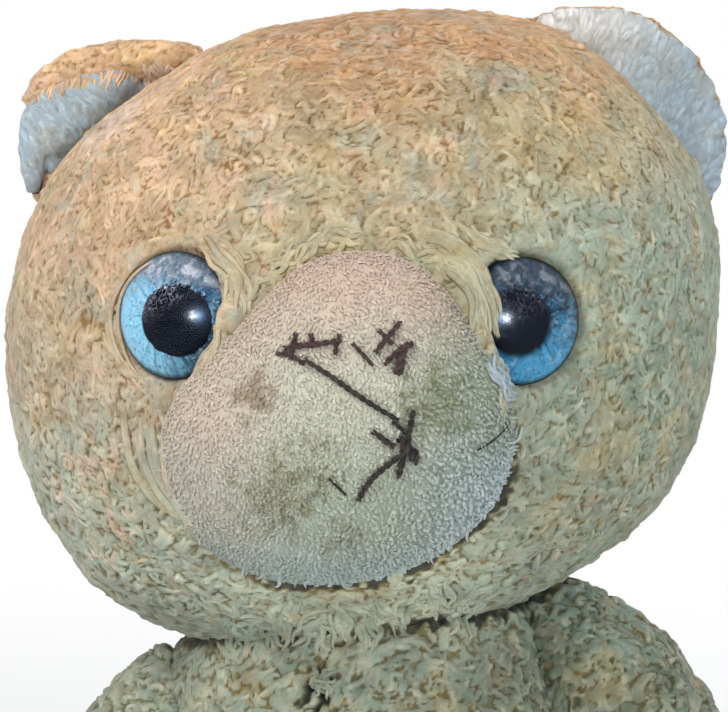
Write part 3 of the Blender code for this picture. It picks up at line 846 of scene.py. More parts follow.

# %% [markdown]
# ## Shader groups
# Dye, streaks, grime and blots are node groups with named inputs, built once and used by several
# materials. The plush dye gives its uneven colour: orange on the crown, pink beige on the brow, and
# grey green low down. It also holds painted light: it is lighter to the left and darker to the right
# and towards the bottom. Old washing left it patchy, so noise of several sizes shifts the colour
# about. A second dye, for looped cloth, comes with the muzzle.

# %% Helpers for groups and colours
FLOAT, COLOR, VECTOR = "NodeSocketFloat", "NodeSocketColor", "NodeSocketVector"
IN_MM = (1000.0, 1000.0, 1000.0)


def srgb(red, green, blue):
    """A colour given as 0 to 255 on a screen, as the linear values that a shader needs."""
    values = [c / 255 for c in (red, green, blue)]
    return rgba(*(c / 12.92 if c <= 0.04045 else ((c + 0.055) / 1.055)**2.4 for c in values))


def new_group(name, inputs, outputs):
    """A shader group with named sockets, opened, and its inputs. An input without a value of its
    own is a vector, and one with four is a colour."""
    group = bpy.data.node_groups.new(name, "ShaderNodeTree")
    print("group", name, "from", *inputs, "to", *outputs)
    for title, value in inputs.items():
        kind = VECTOR if value is None else COLOR if isinstance(value, tuple) else FLOAT
        socket = group.interface.new_socket(title, in_out="INPUT", socket_type=kind)
        if value is not None:
            socket.default_value = value
    for title, kind in outputs.items():
        group.interface.new_socket(title, in_out="OUTPUT", socket_type=kind)
    open_tree(group)
    return group, add_node("NodeGroupInput", output=tuple(inputs))


def give(**outputs):
    """Ends the open group with its outputs."""
    set_inputs(opened.nodes.new("NodeGroupOutput"), **outputs)


def placed(group, output=0, **inputs):
    """The output of a group where it is used."""
    return add_node("ShaderNodeGroup", {"node_tree": group}, output, **inputs)


def ramp(value, stops):
    """A colour ramp over 0 to 1. Each stop is a place and a colour from 0 to 255."""
    colour = add_node("ShaderNodeValToRGB", fac=value)
    bands = colour.socket.node.color_ramp
    bands.interpolation = "EASE"
    while len(bands.elements) < len(stops):
        bands.elements.new(0.5)
    for element, (place, *tone) in zip(bands.elements, stops):
        element.position = place
        element.color = srgb(*tone)
    return colour


def blended_across(x, height, sides, *blends):
    """Ramps over a height, from one side to the other. A blend says where one turns to the next."""
    colour, *others = (ramp(height, stops) for stops in sides)
    for other, blend in zip(others, blends):
        colour = mixed(x.ranged(*blend), colour, other)
    return colour


def split(vector):
    """The three parts of a vector."""
    return add_node("ShaderNodeSeparateXYZ", output=("X", "Y", "Z"), n0=vector)


def scaled(colour, factor):
    """A colour times a number."""
    return add_node("ShaderNodeVectorMath", {"operation": "SCALE"}, n0=colour, n3=factor)


def from_head(position):
    """A position in millimetres from the head's centre."""
    return vector_math("MULTIPLY", vector_math("SUBTRACT", position, tuple(HEAD)), IN_MM)


# %% Group: one worn blot
blot, (place, centre, radius, ragged) = new_group(
    "worn_blot", {"Place": None, "Centre": None, "Radius": 5.0, "Ragged": 0.5}, {"Mask": FLOAT}
)
uneven = (noise(place, 0.42, 4.0) - 0.5) * ragged
share = length_of(vector_math("SUBTRACT", place, centre)) / radius + uneven * 2.2
give(mask=share.ranged(1.0, 0.25))

# %% Group: faded dye of the plush
# Ramps from the bottom to the top, on the left, in the middle and on the right. Besides the plush's
# colours they hold painted light: the left is lighter than the right, the bottom is darker, and the
# pale band low in the middle is brightened against the shadow under the muzzle.
PLUSH_LEFT = [
    (0.00, 150, 162, 146), (0.22, 174, 188, 172), (0.48, 194, 176, 150), (0.65, 213, 180, 147),
    (0.82, 228, 192, 154), (0.96, 244, 198, 152),
]
PLUSH_MIDDLE = [
    (0.00, 144, 158, 142), (0.12, 219, 229, 203), (0.45, 188, 188, 164), (0.62, 185, 178, 145),
    (0.82, 192, 170, 136), (0.96, 202, 154, 108),
]
PLUSH_RIGHT = [
    (0.00, 112, 126, 108), (0.09, 144, 168, 156), (0.22, 152, 162, 140), (0.48, 150, 168, 150),
    (0.65, 166, 182, 164), (0.82, 195, 180, 143), (0.96, 220, 170, 118),
]
WARM, COOL = -1, 1
PATCHES = (
    (0.085, 0.50, (192, 166, 108), 3.1, 0), (0.120, 0.60, (158, 172, 158), 9.7, 0),
    (0.170, 0.60, (226, 184, 160), 17.3, WARM), (0.150, 0.50, (146, 160, 130), 13.7, COOL),
    (0.300, 0.42, (166, 136, 86), 23.9, 0), (0.450, 0.36, (214, 206, 182), 31.1, 0),
    (0.900, 0.35, (150, 118, 74), 41.1, 0),
)
dye, (position, patchy) = new_group("faded_dye", {"Position": None, "Patchy": 1.0}, {"Color": COLOR})
place = from_head(position)
x, _, z = split(place)
height = (z + (noise(place, 0.05) - 0.5) * 34.0 + 60.0) / 110.0
sides = (PLUSH_LEFT, PLUSH_MIDDLE, PLUSH_RIGHT)
colour = blended_across(x, height, sides, (-38.0, -6.0), (6.0, 38.0))
dull_below = z.ranged(-80.0, -45.0, 0.5, 1.0)
# Painted light in part: warm patches keep to the upper left, where the key lamp falls, and cool ones to
# the lower right.
lit_side = (x - z * 0.8).ranged(8.0, -14.0)
for scale, strength, tone, shift, side in PATCHES:
    moved = vector_math("ADD", place, (shift, shift, shift))
    amount = noise(moved, scale, 3.0, 0.6).ranged(0.50, 0.72) * strength * (patchy * dull_below)
    if side:
        amount = amount * (lit_side if side == WARM else 1.0 - lit_side)
    colour = mixed(amount, colour, srgb(*tone))
give(color=scaled(colour, noise(place, 0.14, 4.0, 0.4, 0.6).ranged(0.30, 0.70, 0.84, 1.13)))

# %% Group: streaks along fibres
streaks, (fibre, fineness) = new_group(
    "fibre_streaks", {"Fibre": None, "Fineness": 5.0}, {"Streak": FLOAT, "Height": FLOAT}
)
along, aside, own = split(fibre)
stretched = add_node("ShaderNodeCombineXYZ", n0=along * 0.55, n1=aside * fineness, n2=own)
fine = noise(stretched, 1.0, 4.0, 0.7, 0.6)
give(streak=fine.ranged(0.30, 0.70), height=fine)

# %% Group: grime that settles in blotches
grime, (position, size, cover) = new_group(
    "settled_grime", {"Position": None, "Size": 6.0, "Cover": 0.5}, {"Mask": FLOAT}
)
above = noise(from_head(position), 1.0 / size, 5.0, 0.8) - (0.86 - cover * 0.5)
give(mask=math_node("MULTIPLY", above, 6.0, clamp=True))

# %% [markdown]
# ## Matted strands
# A strand is paler and creamier towards its tip, the more so where it lies high, which is partly
# painted light. Its root is darker than its tip, and where it lies low and under others it gets
# painted shade: darker and warmer, and dark grey where a painted shadow falls. Its own tint varies
# too. Plush, looped cloth and brushed cloth all do this, each in its own measure, so it is one more
# group. Streaks along a strand stand for single fibres, and the same streaks give the bump.

# %% Group: tip, tint and painted shade of a strand
WHITE = rgba(1, 1, 1)
strand, (colour, lock, streak, position, tip_tone, tip_amount, crease) = new_group(
    "matted_strand",
    {"Dye": WHITE, "Lock": None, "Streak": 0.5, "Position": None, "Tip Tone": WHITE,
     "Tip Amount": 0.3, "Crease": 0.8},
    {"Color": COLOR, "Fuzz": FLOAT},
)
tip, tint, above = split(lock)
colour = mixed(tip.ranged(0.3, 1.0) * tip_amount * above, colour, tip_tone)
# Painted shade: darker where the strand lies low.
crease_shade = above.ranged(0.05, 0.70, crease, 1.04)
own = tint.ranged(0.0, 1.0, 0.90, 1.09)
# The own tint, the streaks and the painted shadow scale the colour.
grey = crease_shade * (own * streak.ranged(0.0, 1.0, 0.88, 1.08)) * above.ranged(-1.0, 0.0, 0.22, 1.0)
# Painted shade: low places are tinted warmer as well as darker.
warm_crease_shade = mixed(above.ranged(0.10, 0.55), srgb(224, 204, 164), WHITE)
colour = mixed(1.0, colour, warm_crease_shade, "MULTIPLY")
# Painted shadow: dark grey where the light is kept out.
colour = mixed(above.ranged(0.02, -0.25, 0.0, 0.75), colour, srgb(82, 86, 80))
fuzz = noise(vector_math("MULTIPLY", position, IN_MM), 3.2, 3.0, 1.5)
give(color=scaled(colour, grey), fuzz=fuzz)


# %% Material of the plush
def attribute(name):
    """A vector stored at a mesh's corners."""
    return add_node("ShaderNodeAttribute", {"attribute_name": name}, "Vector")


def object_place():
    """The position on the bear, in metres."""
    return add_node("ShaderNodeTexCoord", output="Object")


def bumped(height, strength, distance, **normal):
    """A normal bent by a height."""
    return add_node("ShaderNodeBump", strength=strength, distance=distance, height=height, **normal)


def dirtied(colour, position, size, cover, amount, tone):
    """A colour with grime on it."""
    return mixed(placed(grime, position=position, size=size, cover=cover) * amount, colour, tone)


def strand_finish(colour, tip_tone, tip_amount, crease, fineness, strength=0.5):
    """The colour, with its painted shade, and the normal of matted strands in the open material."""
    fibre, position = attribute("fibre"), object_place()
    streak, height = placed(streaks, ("Streak", "Height"), fibre=fibre, fineness=fineness)
    colour, fuzz = placed(
        strand, ("Color", "Fuzz"), dye=colour, lock=attribute("lock"), streak=streak,
        position=position, tip_tone=tip_tone, tip_amount=tip_amount, crease=crease,
    )
    return colour, bumped(height, strength, 0.00030, normal=bumped(fuzz, 0.35, 0.00030))


def cloth_finish(shader, colour, normal, roughness, sheen, specular):
    """Colour, normal and plain values of a soft cloth on a Principled shader."""
    set_inputs(
        shader, base_color=colour, normal=normal, roughness=roughness, specular_ior_level=specular,
        sheen_weight=sheen, sheen_roughness=0.45,
    )


pile_material, shader = new_material("matted_pile")
position = object_place()
colour = placed(dye, position=position, patchy=1.0)
colour = dirtied(colour, position, 7.0, 0.45, 0.35, srgb(122, 112, 84))
beside_ear = {"centre": (-41.0, -14.0, 30.0), "radius": 10.0, "ragged": 0.8}
bleached = placed(blot, place=from_head(position), **beside_ear) * 0.6
colour = mixed(bleached, colour, srgb(228, 208, 194))
# 0.74 sets how dark the painted shade in the creases goes.
colour, normal = strand_finish(colour, srgb(246, 234, 206), 0.36, 0.74, 5.0)
cloth_finish(shader, colour, normal, 0.92, 0.18, 0.15)


# %% [markdown]
# ## Pile of the head
# The face carries two kinds of stroke. Tufts of three strands lie every way in patches and cover the
# ground, and narrow curls lie over them. Both sit high on soft clumps and low between them, and thin
# creases part them, as in felted plush. The front is divided most finely, because it is seen close.

# %% Press the head in under the muzzle
IN_FRONT = -20 * MM
surfaces = {name: Surface(skin) for name, skin in skins.items()}


def pressed_in(mesh, cover, depth):
    """Moves a skin's corners inwards where another skin covers them from the front."""
    corners, normals = corner_values(mesh), corner_values(mesh, "normal")
    forward = Vector((0, -1, 0))

    def covered(corner):
        start = Vector(corner) - forward * 4 * MM
        return corner[1] < IN_FRONT and cover.tree.ray_cast(start, forward)[0] is not None

    inwards = np.array([covered(corner) for corner in corners]) * depth
    print("corners pressed in", int((inwards > 0).sum()))
    mesh.vertices.foreach_set("co", (corners - normals * inwards[:, None]).ravel())
    mesh.update()


pressed_in(skins["head"], surfaces["muzzle"], 1.8 * MM)
surfaces["head"] = Surface(skins["head"])


# %% Where strokes may lie, and how
def clump_height(points):
    """How high the pile lies, from 0 between clumps to 1 on a clump."""
    clumps = waves(points, 6.5 * MM, 21) * 0.28 + waves(points, 14 * MM, 26) * 0.20 + 0.5
    return np.clip(clumps, 0, 1)


def mussed(points, rng, disorder=0.6, fall=0.25):
    """Patches that share a direction, with much disorder in them, and a pull downwards."""
    way = swirl(points, 24 * MM, 3) + 0.9 * swirl(points, 8 * MM, 4)
    way += rng.normal(0, disorder, points.shape)
    way[:, 2] -= fall
    return way


TUFT = {
    "length": 4.4 * MM, "width": 1.00 * MM, "height": 0.44 * MM, "curl": 1.0, "bend": 0.45,
    "rise": 0.34 * MM, "strands": 3, "apart": 0.60 * MM, "samples": 15,
}
CURL = {
    "length": 3.4 * MM, "width": 0.88 * MM, "height": 0.50 * MM, "curl": 2.4, "bend": 0.6,
    "rise": 0.40 * MM, "strands": 1, "apart": 0.0, "samples": 14,
}


def laid_pile(surface, rng, keep, *layers, **mess):
    """The strokes of several layers of pile. Each layer is a spacing in millimetres and a style."""
    made = []
    for spacing, style in layers:
        roots, normals = surface.scattered(rng, spacing * MM, keep)
        bed = np.clip(clump_height(roots) * 0.8 + rng.random(len(roots)) * 0.3, 0, 1)
        bed *= 1 + 1.3 * np.clip((HEAD[2] - 12 * MM - roots[:, 2]) / (30 * MM), 0, 1)
        made.append(strokes(surface, roots, normals, mussed(roots, rng, **mess), rng, style, bed))
    return joined(*made)


def coarser(style, factor, **changes):
    """A style with every length multiplied, and with some values changed."""
    lengths = ("length", "width", "height", "rise", "apart")
    made = {key: value * factor if key in lengths else value for key, value in style.items()}
    return {**made, **changes}


# %% Felt of the head
rng = np.random.default_rng(11)


def under_muzzle(points):
    """Which points lie well behind the muzzle."""
    wide, high = (points[:, 0] - MUZZLE[0]) / (17 * MM), (points[:, 2] - MUZZLE[2]) / (14 * MM)
    return wide**2 + high**2 < 1


def bare_of_eyes(points, normals):
    """Roots that are not under an eye or deep under the muzzle."""
    keep = np.ones(len(points), bool)
    front = points[:, 1] < IN_FRONT
    keep[front] = near_eye(points[front]) > -0.6 * MM
    return keep & ~(under_muzzle(points) & front)


def facing(points):
    """How far each point of the head faces forwards, from -1 behind to 1 in front."""
    return -unit((points - np.array(HEAD)) / (72 * MM, 50 * MM, 62 * MM))[:, 1]


def face_faces(centres, outs):
    """The front of the head, apart from what is deep under the muzzle."""
    return (facing(centres) > 0.40) & ~(under_muzzle(centres) & (centres[:, 1] < IN_FRONT))


def lids(points):
    """Raises the felt in a soft roll round each eye, most on the side towards the nose."""
    total = np.zeros(len(points))
    for eye in eyes.values():
        _, flat = about_eye(points, eye)
        reach = np.linalg.norm(flat, axis=1)
        inward = flat[:, 0] * np.sign(HEAD[0] - eye["centre"][0]) / np.maximum(reach, 1e-6)
        above = flat[:, 2] / np.maximum(reach, 1e-6)
        roll = np.exp(-((reach - eye["radius"] - 2.3 * MM) / (1.9 * MM))**2)
        total += roll * (0.8 + 1.0 * np.clip(inward, 0, 1) + 0.4 * np.clip(above, 0, 1)) * MM
        overlap = np.exp(-((reach - eye["radius"] - 0.4 * MM) / (2.5 * MM))**2)
        total += overlap * 2.9 * MM * np.clip((inward - 0.45) / 0.4, 0, 1)
    return total - groove(points)


def groove(points):
    """Depth of the groove between the face and the muzzle, which is deepest below and to the left."""
    depth = np.zeros(len(points))
    offset = points - np.array(MUZZLE)
    close = (np.hypot(offset[:, 0], offset[:, 2]) < 34 * MM) & (points[:, 1] < -15 * MM)
    away = surfaces["muzzle"].distance(points[close]) / (0.8 * MM)
    lower = np.clip(0.45 + (offset[close, 0] * 0.7 - offset[close, 2]) / (30 * MM), 0.1, 1)
    lower *= np.clip(0.2 + (1 * MM - offset[close, 2]) / (6 * MM), 0.2, 1)
    depth[close] = 1.1 * MM * lower * np.exp(-(away - 0.6)**2)
    return depth


SECTORS = 72


def painted_muzzle_shadow(points):
    """How much painted shadow falls on the face under the muzzle's lower rim. The muzzle's outline is
    found in each direction from its middle, as seen from the front."""
    rim = surfaces["muzzle"].corners - np.array(MUZZLE)
    turn = np.arctan2(rim[:, 2], rim[:, 0])
    steps = np.linspace(-np.pi, np.pi, SECTORS + 1)
    outline = np.zeros(SECTORS)
    sector = np.clip(np.digitize(turn, steps) - 1, 0, SECTORS - 1)
    np.maximum.at(outline, sector, np.hypot(rim[:, 0], rim[:, 2]))
    offset = points - np.array(MUZZLE)
    turn = np.arctan2(offset[:, 2], offset[:, 0])
    gap = np.hypot(offset[:, 0], offset[:, 2]) - np.interp(turn, (steps[:-1] + steps[1:]) / 2, outline)
    gap += waves(points, 2.5 * MM, 131) * 0.5 * MM
    reach = (1.65 + 1.4 * np.clip(-np.sin(turn), 0, 1)) * MM
    lower = np.clip(0.20 + (offset[:, 0] - offset[:, 2]) / (30 * MM), 0.0, 1)
    lower *= np.clip((2 * MM - offset[:, 2]) / (6 * MM), 0, 1)
    dark = np.clip((reach - gap) / (1.1 * MM), 0, 1) * lower
    return np.where(points[:, 1] < -15 * MM, dark, 0)


def painted_neck_shade(points, other="head", reach=3.4):
    """How much painted shade falls where the trunk and the head meet, most on the right."""
    away = surfaces[other].distance(points) + waves(points, 3 * MM, 137) * 0.5 * MM
    side = points[:, 0] / MM
    weight = np.clip(0.2 + np.where(side > 0, side / 22, -side / 60), 0.2, 1)
    return 0.95 * np.clip((reach * MM - away) / (1.6 * MM), 0, 1) * weight


def painted_face_shade(points):
    """Painted shade under the muzzle and, on the right, above the trunk."""
    low = points[:, 2] < HEAD[2] - 30 * MM
    shade = 0.73 * painted_muzzle_shadow(points)
    shade[low] = np.maximum(shade[low], painted_neck_shade(points[low], "body", 3.0))
    return shade


def flat_at_eyes(points):
    """The pile ends at the rims of the eyes."""
    share = np.ones(len(points))
    front = points[:, 1] < IN_FRONT
    share[front] = np.clip((near_eye(points[front]) + 0.3 * MM) / (1.3 * MM), 0, 1)
    for eye in eyes.values():
        offset = points - eye["centre"]
        inward = offset[:, 0] * np.sign(HEAD[0] - eye["centre"][0]) / (9 * MM)
        near = np.linalg.norm(offset, axis=1) < 16 * MM
        share = np.where(near, np.maximum(share, np.clip((inward - 0.5) / 0.3, 0, 1)), share)
    return share


head_lines = laid_pile(surfaces["head"], rng, bare_of_eyes, (1.75, TUFT), (1.55, CURL))
print("points on strokes", len(head_lines["line"]))
face = felted(
    "face_felt", skins["head"], 3, head_lines, pile_material, keep=face_faces,
    parts={"_left": lambda c: c[:, 0] >= 0, "_right": lambda c: c[:, 0] < 0}, depth=0.26 * MM,
    swollen=lids, flattened=flat_at_eyes, painted_shade=painted_face_shade,
)
back = felted(
    "head_felt", skins["head"], 2, head_lines, pile_material,
    keep=lambda centres, outs: facing(centres) < 0.43, depth=0.25 * MM, shading=0.75,
)
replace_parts(face[0], "head_face_panel")
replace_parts(back[0], "head_back_panel", "head_stuffing")

# %% Felt of the trunk and the limbs
BODY_TUFT = coarser(TUFT, 1.4, samples=16, height=0.46 * MM, rise=0.50 * MM)
BODY_CURL = coarser(CURL, 1.4, samples=14, height=0.56 * MM, rise=0.60 * MM)
NEAR_TUFT = coarser(TUFT, 1.1, height=0.50 * MM, rise=0.46 * MM)
NEAR_CURL = coarser(CURL, 1.0, height=0.60 * MM, rise=0.52 * MM)


def off_the_sole(side):
    """The pile of a leg ends where its sole begins."""
    sole = surfaces[f"sole_{side}"]
    return lambda points: np.clip((sole.distance(points) - 0.3 * MM) / (1.2 * MM), 0, 1)


def pelt(name, near, swollen=None, flattened=None, painted_shade=painted_neck_shade):
    """The felt of one part: plain where it is seen from further off, and fine where near says."""
    surface, skin = surfaces[name], skins[name]
    plain = laid_pile(surface, rng, everywhere, (2.4, BODY_TUFT), (2.1, BODY_CURL), fall=0.6)
    pieces = felted(
        f"{name}_felt", skin, 2, plain, pile_material, depth=0.3 * MM, shading=0.5,
        keep=lambda centres, outs: ~near(centres, outs, 1.5 * MM), flattened=flattened,
    )
    if near is nowhere:
        return pieces
    around = lambda points, normals: near(points, normals, -3 * MM)
    fine = laid_pile(surface, rng, around, (1.7, NEAR_TUFT), (1.5, NEAR_CURL), fall=0.4)
    # The fine felt gets painted shade, by default where the trunk meets the head.
    return pieces + felted(
        f"{name}_near_felt", skin, 3, fine, pile_material, keep=near, depth=0.4 * MM,
        shading=0.85, bare=0.62 * MM, swollen=swollen, painted_shade=painted_shade,
    )


def nowhere(centres, outs, margin=0.0):
    """A part that is seen from further off everywhere."""
    return np.zeros(len(centres), bool)


def chest(centres, outs, margin=0.0):
    """The top of the trunk's front, which is seen close."""
    return (centres[:, 2] > 82 * MM + margin) & (outs[:, 1] < 0.15 - margin * 20)


def shoulder(centres, outs, margin=0.0):
    """The top of an arm, which is seen close."""
    return (centres[:, 2] > 84 * MM + margin) & (outs[:, 1] < 0.2 - margin * 20)


def chest_pit(points):
    """How much each point lies in the worn pit of the chest, and in the crease that leaves it."""
    x, z = points[:, 0] + 8 * MM, points[:, 2] - 95.5 * MM
    x, z = x + waves(points, 3 * MM, 139) * 0.9 * MM, z + waves(points, 3 * MM, 149) * 0.9 * MM
    pit = np.exp(-((x / (2.1 * MM))**2 + (z / (2.6 * MM))**2))
    crease = np.exp(-(((x - 0.4 * z) / (0.7 * MM))**2 + (z / (7 * MM))**2))
    return np.where(points[:, 1] < -10 * MM, np.maximum(pit, 0.45 * crease), 0)


# The chest pit is pressed in, and the pit and the neck get painted shade.
body = pelt(
    "body", chest, swollen=lambda points: -3.0 * MM * chest_pit(points),
    painted_shade=lambda points: np.maximum(painted_neck_shade(points), 0.9 * chest_pit(points)),
)
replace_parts(body[0], "body_front_panel", "body_back_panel", "body_stuffing")
for side in SIDES:
    for limb, near, fill in (("arm", shoulder, 0.7), ("leg", nowhere, 0.75)):
        name = f"{limb}_{side}"
        pieces = pelt(name, near, flattened=off_the_sole(side) if limb == "leg" else None)
        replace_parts(pieces[0], f"{name}_cover", f"{name}_stuffing")


# %% [markdown]
# ## Muzzle
# The muzzle is a separate pad of looped cloth, like a towel. Each loop is a small arch of yarn that
# stands up and bends over, and the loops stand in wavy upright ribs. They lie over a ground that gets
# painted shade towards the right and the bottom. Dark pits, holes between the loops, are painted in
# where the cloth is stained, and towards its right side as painted shade.

# %% Dye of the looped cloth
LOOPS_LEFT = [
    (0.00, 174, 182, 176), (0.30, 190, 186, 172), (0.60, 208, 192, 176), (0.95, 212, 190, 172),
]
LOOPS_MIDDLE = [
    (0.00, 180, 192, 188), (0.30, 186, 194, 176), (0.62, 202, 202, 184), (0.95, 212, 189, 172),
]
LOOPS_RIGHT = [
    (0.00, 200, 214, 216), (0.30, 190, 204, 206), (0.60, 168, 180, 162), (0.95, 204, 186, 168),
]
STAINS = (
    ((-12.5, 0.0, -26.0), 8.5, 1.1, 0.48, (128, 120, 82)),
    ((-7.0, 0.0, -21.0), 8.0, 1.2, 0.20, (144, 142, 102)),
    ((-16.2, 0.0, -10.6), 4.6, 1.0, 0.60, (140, 114, 86)),
    ((10.4, 0.0, -11.5), 7.0, 1.1, 0.60, (122, 130, 90)),
    ((-3.0, 0.0, -33.0), 5.0, 1.2, 0.26, (140, 136, 100)),
)
loop_dye, (position, pitted) = new_group(
    "faded_loops", {"Position": None, "Pits": 0.5}, {"Color": COLOR}
)
place = from_head(position)
x, _, z = split(place)
height = (z + (noise(place, 0.11) - 0.5) * 12.0 + 42.0) / 52.0
sides = (LOOPS_LEFT, LOOPS_MIDDLE, LOOPS_RIGHT)
colour = blended_across(x, height, sides, (-24.0, -6.0), (2.0, 20.0))
stains_and_shade = 0.15
front = vector_math("MULTIPLY", place, (1.0, 0.0, 1.0))
for centre, radius, ragged, strength, tone in STAINS:
    mask = placed(blot, place=front, centre=centre, radius=radius, ragged=ragged)
    colour = mixed(mask * strength, colour, srgb(*tone))
    stains_and_shade = math_node("MAXIMUM", stains_and_shade, mask)
# Painted shade: towards the right, dark pits are painted between the loops as well.
stains_and_shade = math_node("MAXIMUM", stains_and_shade, x.ranged(2.0, 12.0, 0.0, 0.75))
pits = noise(place, 1.1, 3.0).ranged(0.51, 0.61) * (stains_and_shade * pitted)
give(color=mixed(pits, colour, srgb(96, 92, 66)))

# %% Materials of the loops and of their ground
loop_material, shader = new_material("terry_loops")
position = object_place()
colour = placed(loop_dye, position=position)
colour = dirtied(colour, position, 6.0, 0.40, 0.14, srgb(132, 126, 96))
# 0.92 sets how dark the painted shade between the loops goes.
colour, normal = strand_finish(colour, srgb(248, 244, 232), 0.0, 0.92, 4.0, 0.25)
cloth_finish(shader, colour, normal, 0.9, 0.2, 0.15)

loop_ground_material, shader = new_material("terry_ground")
position = object_place()
place = from_head(position)
x, _, z = split(place)
weave = noise(place, 2.4, 3.0)
# Painted shade: the ground gets darker towards the right and the bottom.
shadowed = (x - z * 0.6).ranged(8.0, 30.0, 1.0, 0.66)
colour = placed(loop_dye, position=position)
colour = scaled(colour, weave.ranged(0.35, 0.65, 0.88, 1.04) * shadowed)
cloth_finish(shader, colour, bumped(weave, 0.6, 0.0004), 0.95, 0.1, 0.1)

# %% Grow the loops of the muzzle
LOOP_LENGTH, LOOP_WIDTH, LOOP_HEIGHT = 1.15 * MM, 0.76 * MM, 0.38 * MM
LOOP_RISE = 0.10 * MM


def ribbed(points, rng, disorder=0.3):
    """Upright ribs that wander a little, combed round to the sides."""
    way = np.zeros_like(points)
    way[:, 2] = -1.0
    way[:, 0] = waves(points, 11 * MM, 41) * 0.35 + (points[:, 0] - MUZZLE[0]) / (60 * MM)
    return way + rng.normal(0, disorder, points.shape)


def looped(name, surface, rng, spacing, keep):
    """A cover of terry loops over a skin. Each is an arch that starts and ends low."""
    roots, normals = surface.scattered(rng, spacing, keep, stretch=(1.15, 1.0, 0.82))
    headings = ribbed(roots, rng)
    count = len(roots)
    bed = np.clip(0.75 + 0.12 * waves(roots, 4 * MM, 51) + rng.normal(0, 0.06, count), 0.58, 1)
    vary = rng.normal(1.0, 0.18, (count, 4)).clip(0.45, 1.8)
    length, width, height = LOOP_LENGTH * vary[:, 0], LOOP_WIDTH * vary[:, 1], LOOP_HEIGHT * vary[:, 2]
    share = np.linspace(0.0, 1.0, 3)
    angle = rng.normal(0.0, 0.6, count)[:, None] * share**1.3
    places, ups = walked(surface, roots, normals, headings, angle, length)
    rise = LOOP_RISE * bed
    lift = rise[:, None] + height[:, None] * (np.sin(np.pi * share**0.85) * 0.30 + 0.1)
    lift[:, 0] = -0.3 * MM
    lift[:, -1] = rise * 0.6
    centres = places + ups * lift[..., None]
    print(name, "loops", count)
    return strand_mesh(name, centres, ups, width, height, ROUND_SECTION, rng.random(count), bed, length)


behind_muzzle = np.array(MUZZLE) + (0, 22 * MM, 0)


def outer_side(points, normals):
    """The side of the muzzle's thin skin that faces away from what is behind it."""
    return np.sum(unit(points - behind_muzzle) * normals, axis=1) > 0.05


rng = np.random.default_rng(12)
ground = grown("muzzle_ground", skins["muzzle"], loop_ground_material)
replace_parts(ground, "muzzle_panel")
loops = looped("muzzle_loops", surfaces["muzzle"], rng, 0.565 * MM, outer_side)
grown("muzzle_loops", loops, loop_material)

# %% [markdown]
# ## Ears
# An ear is two round pieces sewn together: plush behind, and a short brushed cloth in front. The
# plush shows as a fringed rim. The brushed cloth is nearly smooth, with fine fibres that all lean one
# way, and it has kept more of its pale blue grey than the plush has.

# %% Material of the ear linings
lining_material, shader = new_material("brushed_lining")
position = object_place()
place = from_head(position)
x, _, z = split(place)
colour = mixed((z - x * 0.5).ranged(8.0, 34.0), srgb(188, 206, 216), srgb(228, 226, 222))
colour = mixed(x.ranged(44.0, 58.0) * 0.7, colour, srgb(160, 178, 192))
folded = x.ranged(-20.0, -40.0)
colour = mixed(folded, colour, srgb(182, 200, 210))
# Painted shade where the folded lining meets the head.
shade_at_head = (x * 0.75 + z * -0.66).ranged(-60.0, -53.0) * folded
colour = mixed(shade_at_head * 0.55, colour, srgb(112, 126, 140))
yellowed = noise(place, 0.14, 3.0).ranged(0.50, 0.70)
colour = mixed(yellowed * 0.35, colour, srgb(186, 174, 146))
colour = dirtied(colour, position, 5.0, 0.40, 0.35, srgb(116, 116, 104))
# 0.72 sets how dark the painted shade in the lining goes.
colour, normal = strand_finish(colour, srgb(240, 238, 232), 0.15, 0.72, 7.0, 0.7)
cloth_finish(shader, colour, normal, 0.9, 0.25, 0.15)

# %% Felt of the ears
BRUSHED = {
    "length": 3.0 * MM, "width": 0.70 * MM, "height": 0.22 * MM, "curl": 0.3, "bend": 0.15,
    "rise": 0.16 * MM, "strands": 2, "apart": 0.45 * MM, "samples": 9,
}


def away_from(other, distance):
    """Faces that do not lie against another skin."""
    return lambda centres, outs: other.distance(centres) > distance


def spread_out(points):
    """The left ear's lining reaches to its rim."""
    reach = np.hypot(points[:, 0] - 44 * MM, points[:, 2] - 190 * MM)
    return 0.6 * MM + 1.1 * MM * np.clip((reach - 12 * MM) / (4 * MM), 0, 1)


def ear_pile(surface, size):
    """Short tufts and narrow curls for the plush of an ear."""
    tufts = laid_pile(surface, rng, everywhere, (1.5, coarser(TUFT, size)), disorder=0.9)
    return joined(tufts, laid_pile(surface, rng, everywhere, (1.3, coarser(CURL, 0.9))))


rng = np.random.default_rng(13)
for side in SIDES:
    plush, lining = surfaces[f"ear_{side}"], surfaces[f"lining_{side}"]
    lines = ear_pile(plush, 0.8)
    pieces = felted(
        f"ear_{side}_plush", skins[f"ear_{side}"], 1, lines, pile_material,
        keep=away_from(lining, 0.30 * MM), depth=0.3 * MM,
    )
    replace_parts(pieces[0], f"ear_{side}_back")
    roots, normals = lining.scattered(rng, 1.15 * MM, everywhere)
    lean = np.array([0.55 if side == "left" else -0.8, 0.0, 1.0])
    headings = lean + rng.normal(0, 0.18, roots.shape)
    lines = strokes(lining, roots, normals, headings, rng, BRUSHED, rng.random(len(roots)))
    pieces = felted(
        f"ear_{side}_brushed", skins[f"lining_{side}"], 1, lines, lining_material,
        keep=away_from(plush, 0.30 * MM), bare=0.08 * MM, shading=0.55,
        swollen=spread_out if side == "left" else None,
    )
    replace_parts(pieces[0], f"ear_{side}_lining")

# %% Plush that has rolled over the top of the right ear
lines = ear_pile(surfaces["roll"], 0.9)
felted("ear_right_fold", skins["roll"], 1, lines, pile_material, depth=0.2 * MM)

